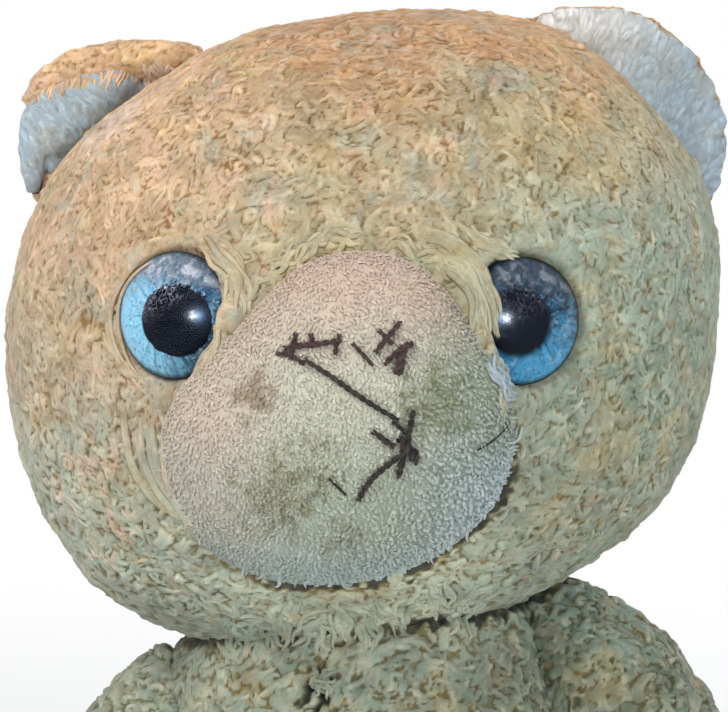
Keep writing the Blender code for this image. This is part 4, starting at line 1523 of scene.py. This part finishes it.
# %% Soles of the feet
for side in SIDES:
    sole = surfaces[f"sole_{side}"]
    roots, normals = sole.scattered(rng, 1.2 * MM, everywhere)
    headings = ribbed(roots, rng)
    bed = 0.6 + 0.4 * rng.random(len(roots))
    lines = strokes(sole, roots, normals, headings, rng, coarser(BRUSHED, 0.7, height=0.25 * MM), bed)
    pieces = felted(
        f"sole_{side}_loops", skins[f"sole_{side}"], 1, lines, loop_material,
        bare=0.1 * MM,
    )
    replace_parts(pieces[0], f"leg_{side}_sole")

# %% [markdown]
# ## Eyes
# A safety eye is a clear plastic dome. Its flat back carries sky-blue paint with a metallic look and
# a round black pupil, and years of play have scuffed it. The paint is made as a shallow form inside
# the dome, and the dome is a thin clear shell over it that only reflects, more strongly at its rim,
# so that light still reaches the paint. The paint's colour also holds painted light: it is brighter
# on the side where light gathers through the dome, it has a grey painted reflection over the top,
# and painted shade darkens its rim where the fur meets the eye.

# %% Rings of an eye
SEGMENTS = 72


def turned_form(name, eye, profile):
    """A form turned about the eye's axis from (radius, height) pairs, from its middle outwards."""
    out = eye["axis"]
    right = unit(np.cross((0.0, 0.0, 1.0), out))
    up = np.cross(out, right)
    angles = 2 * np.pi * np.arange(SEGMENTS) / SEGMENTS
    ring = np.cos(angles)[:, None] * right + np.sin(angles)[:, None] * up
    corners = np.concatenate([eye["centre"] + r * ring + h * out for r, h in profile])
    mesh = quad_mesh(name, corners, tube_quads(1, len(profile), SEGMENTS))
    if mesh.polygons[SEGMENTS * 3].normal.dot(out) < 0:
        mesh.flip_normals()
    offset = corners - eye["centre"]
    store(mesh, "disc", np.stack([offset @ way for way in (right, up, out)], axis=1) / MM)
    return mesh


def dome_profile(radius, height, rings, low=0.0):
    """Part of a sphere over a base, from its top down."""
    ball = (radius**2 + height**2) / (2 * height)
    reach = np.linspace(0.002, 1.0, rings)**0.8 * radius
    return [(r, low + math.sqrt(max(ball**2 - r**2, 0.0)) - (ball - height)) for r in reach]


# %% Paint of the eyes
PUPIL = 5.7
# Where the paint's rim turns nearly black, as painted shade where the fur meets the eye.
RIM_SHADE_ENDS = (8.8, 10.1)


def eye_paint(name, bright, deep, top, glow, scuffed, pupil_at, soft):
    """Blue paint with radial brush marks, a black pupil, and flakes worn off it. Its colour holds
    painted
    light: brighter towards the side that glow points to, a grey painted reflection over the top, and
    painted shade at the rim.
    """
    material, shader = new_material(name)
    right, up, _ = split(attribute("disc"))
    flat = add_node("ShaderNodeCombineXYZ", n0=right, n1=up)
    rays = vector_math("MULTIPLY", vector_math("NORMALIZE", flat), (7.0, 7.0, 7.0))
    brushed = vector_math("ADD", rays, vector_math("MULTIPLY", flat, (0.22, 0.22, 0)))
    streak = noise(brushed, 1.0, 4.0, 0.4, 0.6)
    fleck = noise(flat, 1.9, 3.0, 0.6)
    cloudy = noise(flat, 0.45, 4.0, 0.8)
    # Painted light: the paint is brighter towards the side that glow points to.
    side = vector_math("DOT_PRODUCT", flat, (*glow, 0.0), output="Value").ranged(-7.0, 7.5)
    lit = math_node("ADD", side, streak.ranged(0.3, 0.7, -0.35, 0.35), clamp=True)
    colour = mixed(lit, srgb(*deep), srgb(*bright))
    colour = mixed(cloudy.ranged(0.50, 0.70, 0.0, 0.35), colour, srgb(168, 208, 228))
    # Painted reflection: a grey tone over the top of the paint.
    painted_top_reflection = (up + cloudy * 6.0).ranged(5.5, 10.5)
    colour = mixed(painted_top_reflection * 0.85, colour, srgb(*top))
    colour = mixed(painted_top_reflection * cloudy.ranged(0.44, 0.74) * scuffed, colour, srgb(198, 202, 212))
    colour = mixed(fleck.ranged(0.60, 0.68, 0.0, 0.65) * scuffed, colour, srgb(196, 226, 240))
    colour = mixed(fleck.ranged(0.42, 0.34, 0.0, 0.60), colour, srgb(24, 66, 106))
    # Painted shade: the paint's rim is nearly black.
    colour = mixed(length_of(flat).ranged(*RIM_SHADE_ENDS), colour, srgb(12, 22, 34))

    torn = up.ranged(1.0, 6.0) * (fleck - 0.45)
    ragged = (noise(flat, 0.55, 3.0) - 0.5) * 1.1 + torn * 5.0
    reach = length_of(vector_math("SUBTRACT", flat, (*pupil_at, 0.0)))
    pupil = (reach + ragged).ranged(PUPIL + soft, PUPIL - soft)
    lines = noise(vector_math("MULTIPLY", flat, (1.5, 0.75, 1.0)), 0.75, 5.0, 2.2)
    curly = math_node("ABSOLUTE", lines - 0.5).ranged(0.034, 0.010)
    patchy = noise(flat, 0.34, 2.0).ranged(0.36, 0.50)
    high = (up - right * 0.6).ranged(-1.0, 3.5)
    inky = mixed(curly * (patchy * high) * scuffed, srgb(3, 4, 12), srgb(150, 148, 164))
    set_inputs(
        shader, base_color=mixed(pupil, colour, inky), roughness=0.27, specular_ior_level=0.12,
        specular_tint=rgba(0.35, 0.60, 1.0), normal=bumped(streak * (1.0 - pupil), 0.35, 0.0003),
    )
    return material


# bright and deep are the blues of the lit and the dark side, top is the colour of the painted
# reflection, and glow points to the lit side.
eye_paints = {
    "right": eye_paint(
        "eye_paint_right", (142, 208, 240), (40, 76, 106), (114, 122, 136), glow=(-1.0, -0.1),
        scuffed=0.95, pupil_at=(2.0, -0.7), soft=0.15,
    ),
    "left": eye_paint(
        "eye_paint_left", (72, 158, 204), (26, 46, 64), (58, 66, 78), glow=(-0.25, -1.0),
        scuffed=0.30, pupil_at=(-2.2, 0.2), soft=0.9,
    ),
}

# %% Clear shell of the eyes
PLASTIC_IOR = 1.49
shell_material, shader = new_material("clear_shell")
scratches = noise(from_head(object_place()), 0.9, 6.0, 2.5)
normal = bumped(scratches, 0.10, 0.0002)
mirror = add_node("ShaderNodeFresnel", ior=PLASTIC_IOR, normal=normal)
set_inputs(
    shader, base_color=rgba(0.95, 0.97, 1.0), metallic=1.0, ior=PLASTIC_IOR, normal=normal,
    roughness=scratches.ranged(0.56, 0.66).ranged(0.0, 1.0, 0.18, 0.32),
    alpha=math_node("MINIMUM", mirror * 0.22, 0.06),
)

# %% Build the eyes
for side, eye in eyes.items():
    place = eye["centre"] + eye["axis"] * 0.35 * MM
    place[0] -= (0.8 if side == "left" else 0.35) * MM
    radius, height = eye["radius"] * 1.045, eye["height"]
    eye = {**eye, "centre": place}
    profile = dome_profile(radius * 0.965, height * 0.80, 14, low=0.1 * MM)
    paint = turned_form(f"eye_{side}_paint", eye, profile)
    painted = grown(paint.name, paint, eye_paints[side])
    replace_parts(painted, f"eye_{side}_back", f"eye_{side}_pupil")
    shell = turned_form(f"eye_{side}_shell", eye, dome_profile(radius, height, 16))
    clear = grown(shell.name, shell, shell_material)
    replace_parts(clear, f"eye_{side}_dome")

# %% Black washers behind the eyes
washer_material, shader = new_material("moulded_washer")
grain = noise(from_head(object_place()), 2.0, 4.0)
set_inputs(
    shader, base_color=mixed(grain, srgb(20, 20, 22), srgb(44, 44, 48)),
    roughness=grain.ranged(0.3, 0.7, 0.35, 0.55), normal=bumped(grain, 0.2, 0.0002),
)
for side in SIDES:
    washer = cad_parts[f"eye_{side}_washer"]
    washer.data.materials.clear()
    washer.data.materials.append(washer_material)

# %% [markdown]
# ## What is left of the sewn nose
# The nose and the mouth were sewn in dark yarn of two plies, and most of it is gone. What is left are
# single stitches that lie across each other and end in frayed stumps. Each stitch follows the middle
# line of its solid. Two thin tubes twist round that line, and loose hairs leave them.

# %% Middle line of a stitch
def stitch_line(node):
    """The middle line of a stitch's solid, from one end to the other."""
    corners = node_corners(node)
    middle = corners.mean(axis=0)
    way = np.linalg.svd(corners - middle, full_matrices=False)[2][0]
    along = (corners - middle) @ way
    width = (along.max() - along.min()) / 8
    line = []
    for place in np.linspace(along.min(), along.max(), 9):
        close = np.abs(along - place) < width * 0.75
        if close.sum() >= 3:
            line.append(corners[close].mean(axis=0) + way * (place - along[close].mean()) * 0.9)
    return np.array(line)


def resampled(points, at):
    """Places along a line, each at a distance from its start."""
    return np.stack([np.interp(at, run_of(points), column) for column in points.T], axis=1)


def eased(points, count):
    """A line of evenly spread points, smoothed, through the given points."""
    points = np.asarray(points, dtype=float)
    return softened(resampled(points, np.linspace(0, run_of(points)[-1], count)), 3)


# %% Tubes along lines
def ways_across(line):
    """Two directions across a line at each of its points."""
    tangents = unit(np.gradient(line, axis=-2))
    sideways = unit(np.cross(tangents, (0.13, -0.97, 0.21)))
    return sideways, np.cross(tangents, sideways)


def tube_mesh(name, lines, widths, sides):
    """Round tubes along lines that all have the same number of points."""
    lines, widths = np.array(lines), np.array(widths)
    shape = (*lines.shape[:2], sides)
    sideways, upwards = ways_across(lines)
    turn = 2 * np.pi * np.arange(sides) / sides
    rims = lines[:, :, None] + (widths * 0.5)[..., None, None] * (
        np.cos(turn)[:, None] * sideways[:, :, None] + np.sin(turn)[:, None] * upwards[:, :, None]
    )
    mesh = quad_mesh(name, rims.reshape(-1, 3), tube_quads(*shape))
    run = np.array([run_of(line) for line in lines])[..., None] / MM
    number = np.arange(shape[0])[:, None, None]
    store(mesh, "fibre", stacked(shape, run, np.cos(turn), number * 3.7))
    store(mesh, "lock", stacked(shape, run / run[:, -1:], (number * 0.37) % 1, 0.6))
    return mesh


def two_ply(line, ply, pitch):
    """Two lines that twist round a line."""
    sideways, upwards = ways_across(line)
    turn = 2 * np.pi * run_of(line) / pitch
    made = []
    for start in (0, np.pi):
        offset = np.cos(turn + start)[:, None] * sideways + np.sin(turn + start)[:, None] * upwards
        made.append(line + offset * ply * 0.5)
    return made


# %% Material of the yarn
yarn_material, shader = new_material("dark_yarn")
fibre = attribute("fibre")
streak, height = placed(streaks, ("Streak", "Height"), fibre=fibre, fineness=3.0)
place = from_head(object_place())
faded = noise(place, 0.5, 3.0).ranged(0.42, 0.66)
colour = mixed(faded, srgb(30, 27, 29), srgb(66, 56, 50))
colour = mixed(split(place)[2].ranged(-11.0, -4.0, 0.0, 0.7), colour, srgb(84, 60, 60))
colour = mixed(streak.ranged(0.55, 1.0, 0.0, 0.45), colour, srgb(122, 104, 84))
cloth_finish(shader, colour, bumped(height, 0.8, 0.0003), 0.85, 0.15, 0.2)

# %% Sew the stitches
PLY = 0.50 * MM
PITCH = 2.6 * MM
RINGS = 60
STITCHES = [
    f"nose_{part}_stitch" for part in ("long", "upper", "bridge", "cross", "side", "tip", "lower")
] + ["mouth_stitch"]
THIN = {"nose_bridge_stitch": 0.7, "nose_long_stitch": 0.92}
rng = np.random.default_rng(14)
hairs, hair_widths = [], []


def sewn(name, points, ply, hair):
    """A piece of yarn along points, and the loose hairs that leave it."""
    line = eased(points, RINGS)
    length = float(np.linalg.norm(np.diff(line, axis=0), axis=1).sum())
    plies = two_ply(line, ply, PITCH)
    share = np.linspace(0, 1, RINGS)
    width = ply * 1.12 * (0.35 + 0.65 * np.sin(np.pi * (0.06 + 0.88 * share))**0.35)
    yarn = grown(name, tube_mesh(name, plies, [width, width], 5), yarn_material)
    for _ in range(int(hair * (6 + 1800 * length))):
        start = plies[rng.integers(2)][rng.integers(RINGS)]
        way = unit(rng.normal(0, 1, 3) + np.array([0, -0.6, 0]))
        turn = unit(rng.normal(0, 1, 3))
        t = np.linspace(0, 1, 7)[:, None]
        reach = rng.uniform(0.7, 1.9) * MM
        hairs.append(start + way * t * reach + turn * (t**2) * reach * 0.6)
        hair_widths.append(0.11 * MM * (1 - 0.8 * t[:, 0]))
    return yarn


for node in STITCHES:
    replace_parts(sewn(node + "_yarn", stitch_line(node), PLY * THIN.get(node, 1.0), 1.0), node)

# %% [markdown]
# ## Strands that lie over the eyes and the muzzle
# Round the eyes and the muzzle the pile was never cut short, so long strands lie over the rims. They
# are worked as bundles. A bundle has a path on the face, in millimetres to the side of and above the
# point between the eyes. Each strand follows it a little to one side, laid on whatever is under it.

# %% Find the face under a path
def combined(*meshes):
    """One tree of all the triangles of several meshes."""
    corners, triangles, start = [], [], 0
    for mesh in meshes:
        surface = Surface(mesh)
        corners += surface.corners.tolist()
        triangles += (surface.triangles + start).tolist()
        start += len(surface.corners)
    return BVHTree.FromPolygons(corners, triangles)


shells = [bpy.data.objects[f"eye_{side}_shell"].data for side in SIDES]
felts = [piece.data for piece in face]
for name in ("body", "arm_left", "arm_right"):
    felts += [bpy.data.objects[f"{name}_{kind}"].data for kind in ("felt", "near_felt")]
front_tree = combined(
    *felts, skins["muzzle"], skins["roll"], skins["lining_right"], skins["ear_right"], *shells
)
BETWEEN_EYES = np.array([eyes_middle, 0.0, eye_level])


def on_face(side_mm, up_mm):
    """The front-most place of the face at a distance to the side and up, and its normal. Past the
    outline, it is the nearest place inwards."""
    place = None
    while place is None:
        start = Vector(BETWEEN_EYES + (side_mm * MM, -0.15, up_mm * MM))
        place, normal, _, _ = front_tree.ray_cast(start, Vector((0, 1, 0)))
        side_mm *= 0.97
    return np.array(place), np.array(normal)


def bundle(path, strands, spread, width, lift=0.3, parallel=False, wave=0.35, rings=14, hang=None):
    """Strands beside a path. Parallel strands keep even distances, and others are mussed. Strands
    that hang stay out in front where the surface steps back."""
    path = np.asarray(path, dtype=float)
    made = []
    for k in range(strands):
        evenly = (k / max(strands - 1, 1) - 0.5) * 2 * spread
        aside = evenly if parallel else rng.uniform(-spread, spread)
        begin, stop = rng.uniform(0.0, 0.22), rng.uniform(0.80, 1.0)
        at = np.linspace(begin, stop, rings) * run_of(path)[-1]
        line = softened(resampled(path, at), 2)
        ahead = unit(np.gradient(line, axis=0))
        across = np.stack([-ahead[:, 1], ahead[:, 0]], axis=1)
        share = np.linspace(0, 1, rings)
        sway = wave * np.sin(2 * np.pi * (share * rng.uniform(0.7, 1.6) + rng.random()))
        sway += 0.35 * wave * np.sin(2 * np.pi * (share * rng.uniform(2.2, 3.4) + rng.random()))
        line = line + across * (aside + sway)[:, None]
        places, ups = map(np.array, zip(*(on_face(*point) for point in line)))
        ups = unit(ups + (0, -0.6, 0))
        if hang is not None:
            places[:, 1] = np.minimum(places[:, 1], places[0, 1] + hang)
        places = softened(places, 2)
        for _ in range(2):
            ups[1:-1] = unit(softened(ups, 1)[1:-1])
        high = (lift + rng.uniform(-0.15, 0.25)) * MM
        rise = high * np.sin(np.pi * (0.05 + 0.9 * share))**0.5 - 0.25 * MM
        own = width * rng.uniform(0.75, 1.25) * MM
        made.append((places + ups * rise[:, None], ups, own, own * rng.uniform(0.45, 0.65)))
    return made


def bundled(name, bundles, material=pile_material):
    """One piece from several bundles."""
    centres, ups, width, height = map(np.array, zip(*(strand for one in bundles for strand in one)))
    length = np.linalg.norm(np.diff(centres, axis=1), axis=2).sum(axis=1)
    tint, bed = rng.random(len(centres)), rng.uniform(0.45, 0.9, len(centres))
    mesh = strand_mesh(name, centres, ups, width, height, FLAT_SECTION, tint, bed, length)
    return grown(name, mesh, material)


# %% Strands round the eyes and over the muzzle's top
rng = np.random.default_rng(15)
NOSE_SIDE_OF_LEFT_EYE = [(9.0, 12.4), (14.2, 11.0), (18.4, 7.4), (20.4, 2.0), (20.9, -3.5)]
ABOVE_LEFT_EYE = [(17.5, 13.6), (21.0, 11.2), (24.8, 9.6), (27.5, 9.4)]
UNDER_LEFT_EYE = [(22.6, -7.0), (23.8, -9.4), (23.0, -12.4), (24.0, -15.5)]
NOSE_SIDE_OF_RIGHT_EYE = [(-23.6, 12.2), (-20.0, 9.8), (-17.8, 5.4), (-17.6, 0.0)]
BELOW_RIGHT_EYE = [(-19.6, 0.5), (-20.9, -4.0), (-23.2, -8.2), (-26.5, -11.0)]
BESIDE_RIGHT_EYE = [
    (-30.6, 10.6), (-34.6, 8.0), (-37.4, 3.6), (-38.3, -1.2), (-37.2, -6.2), (-34.0, -10.2),
    (-30.0, -12.6),
]
OVER_MUZZLE = [
    [(-13.5, 6.6), (-11.0, 9.2), (-7.6, 11.2)], [(-4.5, 11.0), (-1.5, 12.6), (2.0, 12.2)],
    [(3.5, 11.6), (7.5, 12.2), (11.0, 10.6)], [(10.0, 10.8), (13.6, 9.6), (16.4, 7.0)],
    [(-9.0, 9.4), (-5.2, 12.2), (-1.0, 12.6)], [(-17.5, 2.5), (-15.4, 5.6), (-12.8, 7.6)],
]
round_eyes = [
    bundle(NOSE_SIDE_OF_LEFT_EYE, 24, 2.0, 1.3, lift=0.35, wave=0.6),
    bundle(ABOVE_LEFT_EYE, 6, 1.0, 1.1, wave=0.5),
    bundle(UNDER_LEFT_EYE, 7, 0.9, 1.0, wave=0.5),
    bundle(NOSE_SIDE_OF_RIGHT_EYE, 12, 1.6, 1.2, lift=0.35, wave=0.7),
    bundle(BELOW_RIGHT_EYE, 6, 0.8, 1.1, wave=0.5),
    bundle(BESIDE_RIGHT_EYE, 3, 0.9, 1.0, lift=0.25, parallel=True),
]
round_eyes += [bundle(path, 6, 1.0, 1.1, lift=0.4, wave=0.8) for path in OVER_MUZZLE]
bundled("eye_fringe", round_eyes)

# %% Pinched folds beside the muzzle
FOLD = [(-29.6, -16.0), (-29.8, -21.0), (-28.4, -26.5), (-25.4, -31.6), (-21.0, -35.6)]
folds = []
for shift in (0.0, -2.1, -4.4, -6.9):
    path = [(x + shift, z - 0.35 * shift) for x, z in FOLD]
    folds.append(bundle(path, 4, 0.5, 1.4, lift=0.35, wave=0.25))
bundled("cheek_folds", folds)

# %% Fringe of the muzzle's lower rim
def rim_place(turn, reach):
    """To the side and up, a distance from the muzzle's middle in one direction."""
    middle = (np.array(MUZZLE) - BETWEEN_EYES) / MM
    return middle[0] + reach * math.cos(turn), middle[2] + reach * math.sin(turn)


def muzzle_rim(turn):
    """How far from its middle the muzzle ends in one direction, as it is seen from the front."""
    for reach in np.arange(14.0, 32.0, 0.3):
        place, _ = on_face(*rim_place(turn, reach))
        if surfaces["muzzle"].distance(place[None])[0] > 0.6 * MM:
            return reach - 0.3
    return 30.0


rim_fringe = []
for turn in np.radians(np.linspace(-170, 5, 46)):
    reach = muzzle_rim(turn)
    steps = (-1.4, -0.3, rng.uniform(0.2, 0.8))
    path = [rim_place(turn + rng.normal(0, 0.02), reach + step) for step in steps]
    rim_fringe.append(bundle(path, 3, 1.0, 0.55, wave=0.3, rings=8, hang=2.2 * MM))
bundled("muzzle_fringe", rim_fringe, loop_material)

# %% Curls over the neck
def neck_height(side_mm):
    """How far below the eyes the chin ends and the trunk begins: where the surface steps back."""
    steps = np.arange(-42.0, -58.0, -0.4)
    depth = np.array([on_face(side_mm, up)[0][1] for up in steps])
    return float(steps[np.argmax(np.diff(depth))])


neck = []
for side_mm in np.linspace(-24.0, 17.0, 23):
    start = side_mm + rng.normal(0, 0.8)
    middle = neck_height(start)
    lean = rng.normal(0, 2.0)
    above, below = rng.uniform(1.5, 4.0), rng.uniform(2.5, 5.0)
    path = [(start - lean, middle + above), (start, middle), (start + lean, middle - below)]
    neck.append(bundle(path, 5, 1.5, 1.15, lift=0.4, wave=0.8))
IN_CHEST_PIT = (
    [(-7.6, -60.0), (-5.2, -61.8), (-3.6, -64.5)], [(-3.4, -59.0), (-5.0, -61.0), (-7.4, -62.5)],
)
neck += [bundle(path, 4, 0.9, 0.9, lift=0.7, wave=0.9) for path in IN_CHEST_PIT]
bundled("neck_curls", neck)

# %% Fringe of the folded ear
ear_fringe = []
for share in np.linspace(0.12, 0.95, 15):
    at = share * (len(PLUSH_ROLL) - 1)
    x, z, radius = (np.interp(at, range(len(PLUSH_ROLL)), PLUSH_ROLL[:, k]) / MM for k in range(3))
    x, z = x - BETWEEN_EYES[0] / MM, z - BETWEEN_EYES[2] / MM
    fall = rng.uniform(0.9, 1.5)
    path = [(x, z), (x - 0.3, z - radius), (x - 0.8 + rng.normal(0, 0.4), z - radius - 1.8 * fall)]
    ear_fringe.append(bundle(path, 4, 1.3, 0.65, lift=0.35, wave=0.2))
bundled("ear_right_fringe", ear_fringe)

# %% Pale tufts at the folded ear and under the left eye
at_ear = [
    bundle([(-35.6, 43.0), (-34.4, 39.5), (-33.0, 35.5)], 12, 1.8, 0.9, lift=0.7, wave=0.6),
    bundle([(-32.6, 42.0), (-32.0, 38.0)], 8, 1.2, 0.9, lift=0.7, wave=0.6),
]
bundled("ear_right_tufts", at_ear, loop_material)
UNDER_LEFT_EYE_RIM = [(21.6, -5.0), (22.6, -8.5), (24.2, -11.0), (26.2, -12.4)]
pale = [bundle(UNDER_LEFT_EYE_RIM, 8, 0.9, 0.9, lift=0.7, wave=0.6)]
bundled("eye_left_pale_tuft", pale, lining_material)

# %% Short and crossing stitches
CROSSED = {
    "far_end": ([(-11.1, -4.3), (-9.5, -4.4), (-7.9, -5.0)], 0.8),
    "far_barb": ([(-8.2, -1.3), (-8.9, -5.2)], 0.9),
    "second_barb": ([(-6.0, -1.3), (-5.7, -3.3)], 0.9),
    "third_barb": ([(-1.8, -1.3), (-2.5, -4.3)], 0.8),
    "over_cross": ([(4.0, -0.8), (6.0, -2.8)], 0.8),
    "near_cross": ([(8.4, -2.8), (6.6, -4.0), (4.8, -5.8)], 1.0),
    "knot": ([(7.3, -4.3), (7.1, -5.6), (6.6, -7.2)], 1.5),
    "low_knot": ([(7.0, -16.6), (8.2, -18.4), (9.6, -20.3)], 1.6),
    "low_tail": ([(7.6, -18.4), (7.4, -20.6), (6.9, -22.8)], 1.1),
    "faint": ([(-3.5, -23.0), (-0.9, -25.7)], 0.5),
    "long_start": ([(-8.4, -4.8), (-7.0, -5.8)], 0.7),
    "long_end": ([(6.0, -14.2), (8.2, -16.2)], 0.7),
    "snag": ([(18.2, -19.4), (20.4, -18.6), (22.6, -17.0), (24.0, -15.4)], 0.32),
}
FINE = 0.4
for name, (path, thick) in CROSSED.items():
    found = [on_face(*point) for point in eased(path, 12)]
    places = np.array([place + normal * 0.55 * thick * MM for place, normal in found])
    sewn(f"nose_{name}_yarn", places, PLY * thick, 1.2 if thick > FINE else 0.3)
loose = tube_mesh("loose_hairs", hairs, hair_widths, 3)
grown("loose_hairs", loose, yarn_material)
print("loose hairs", len(hairs))
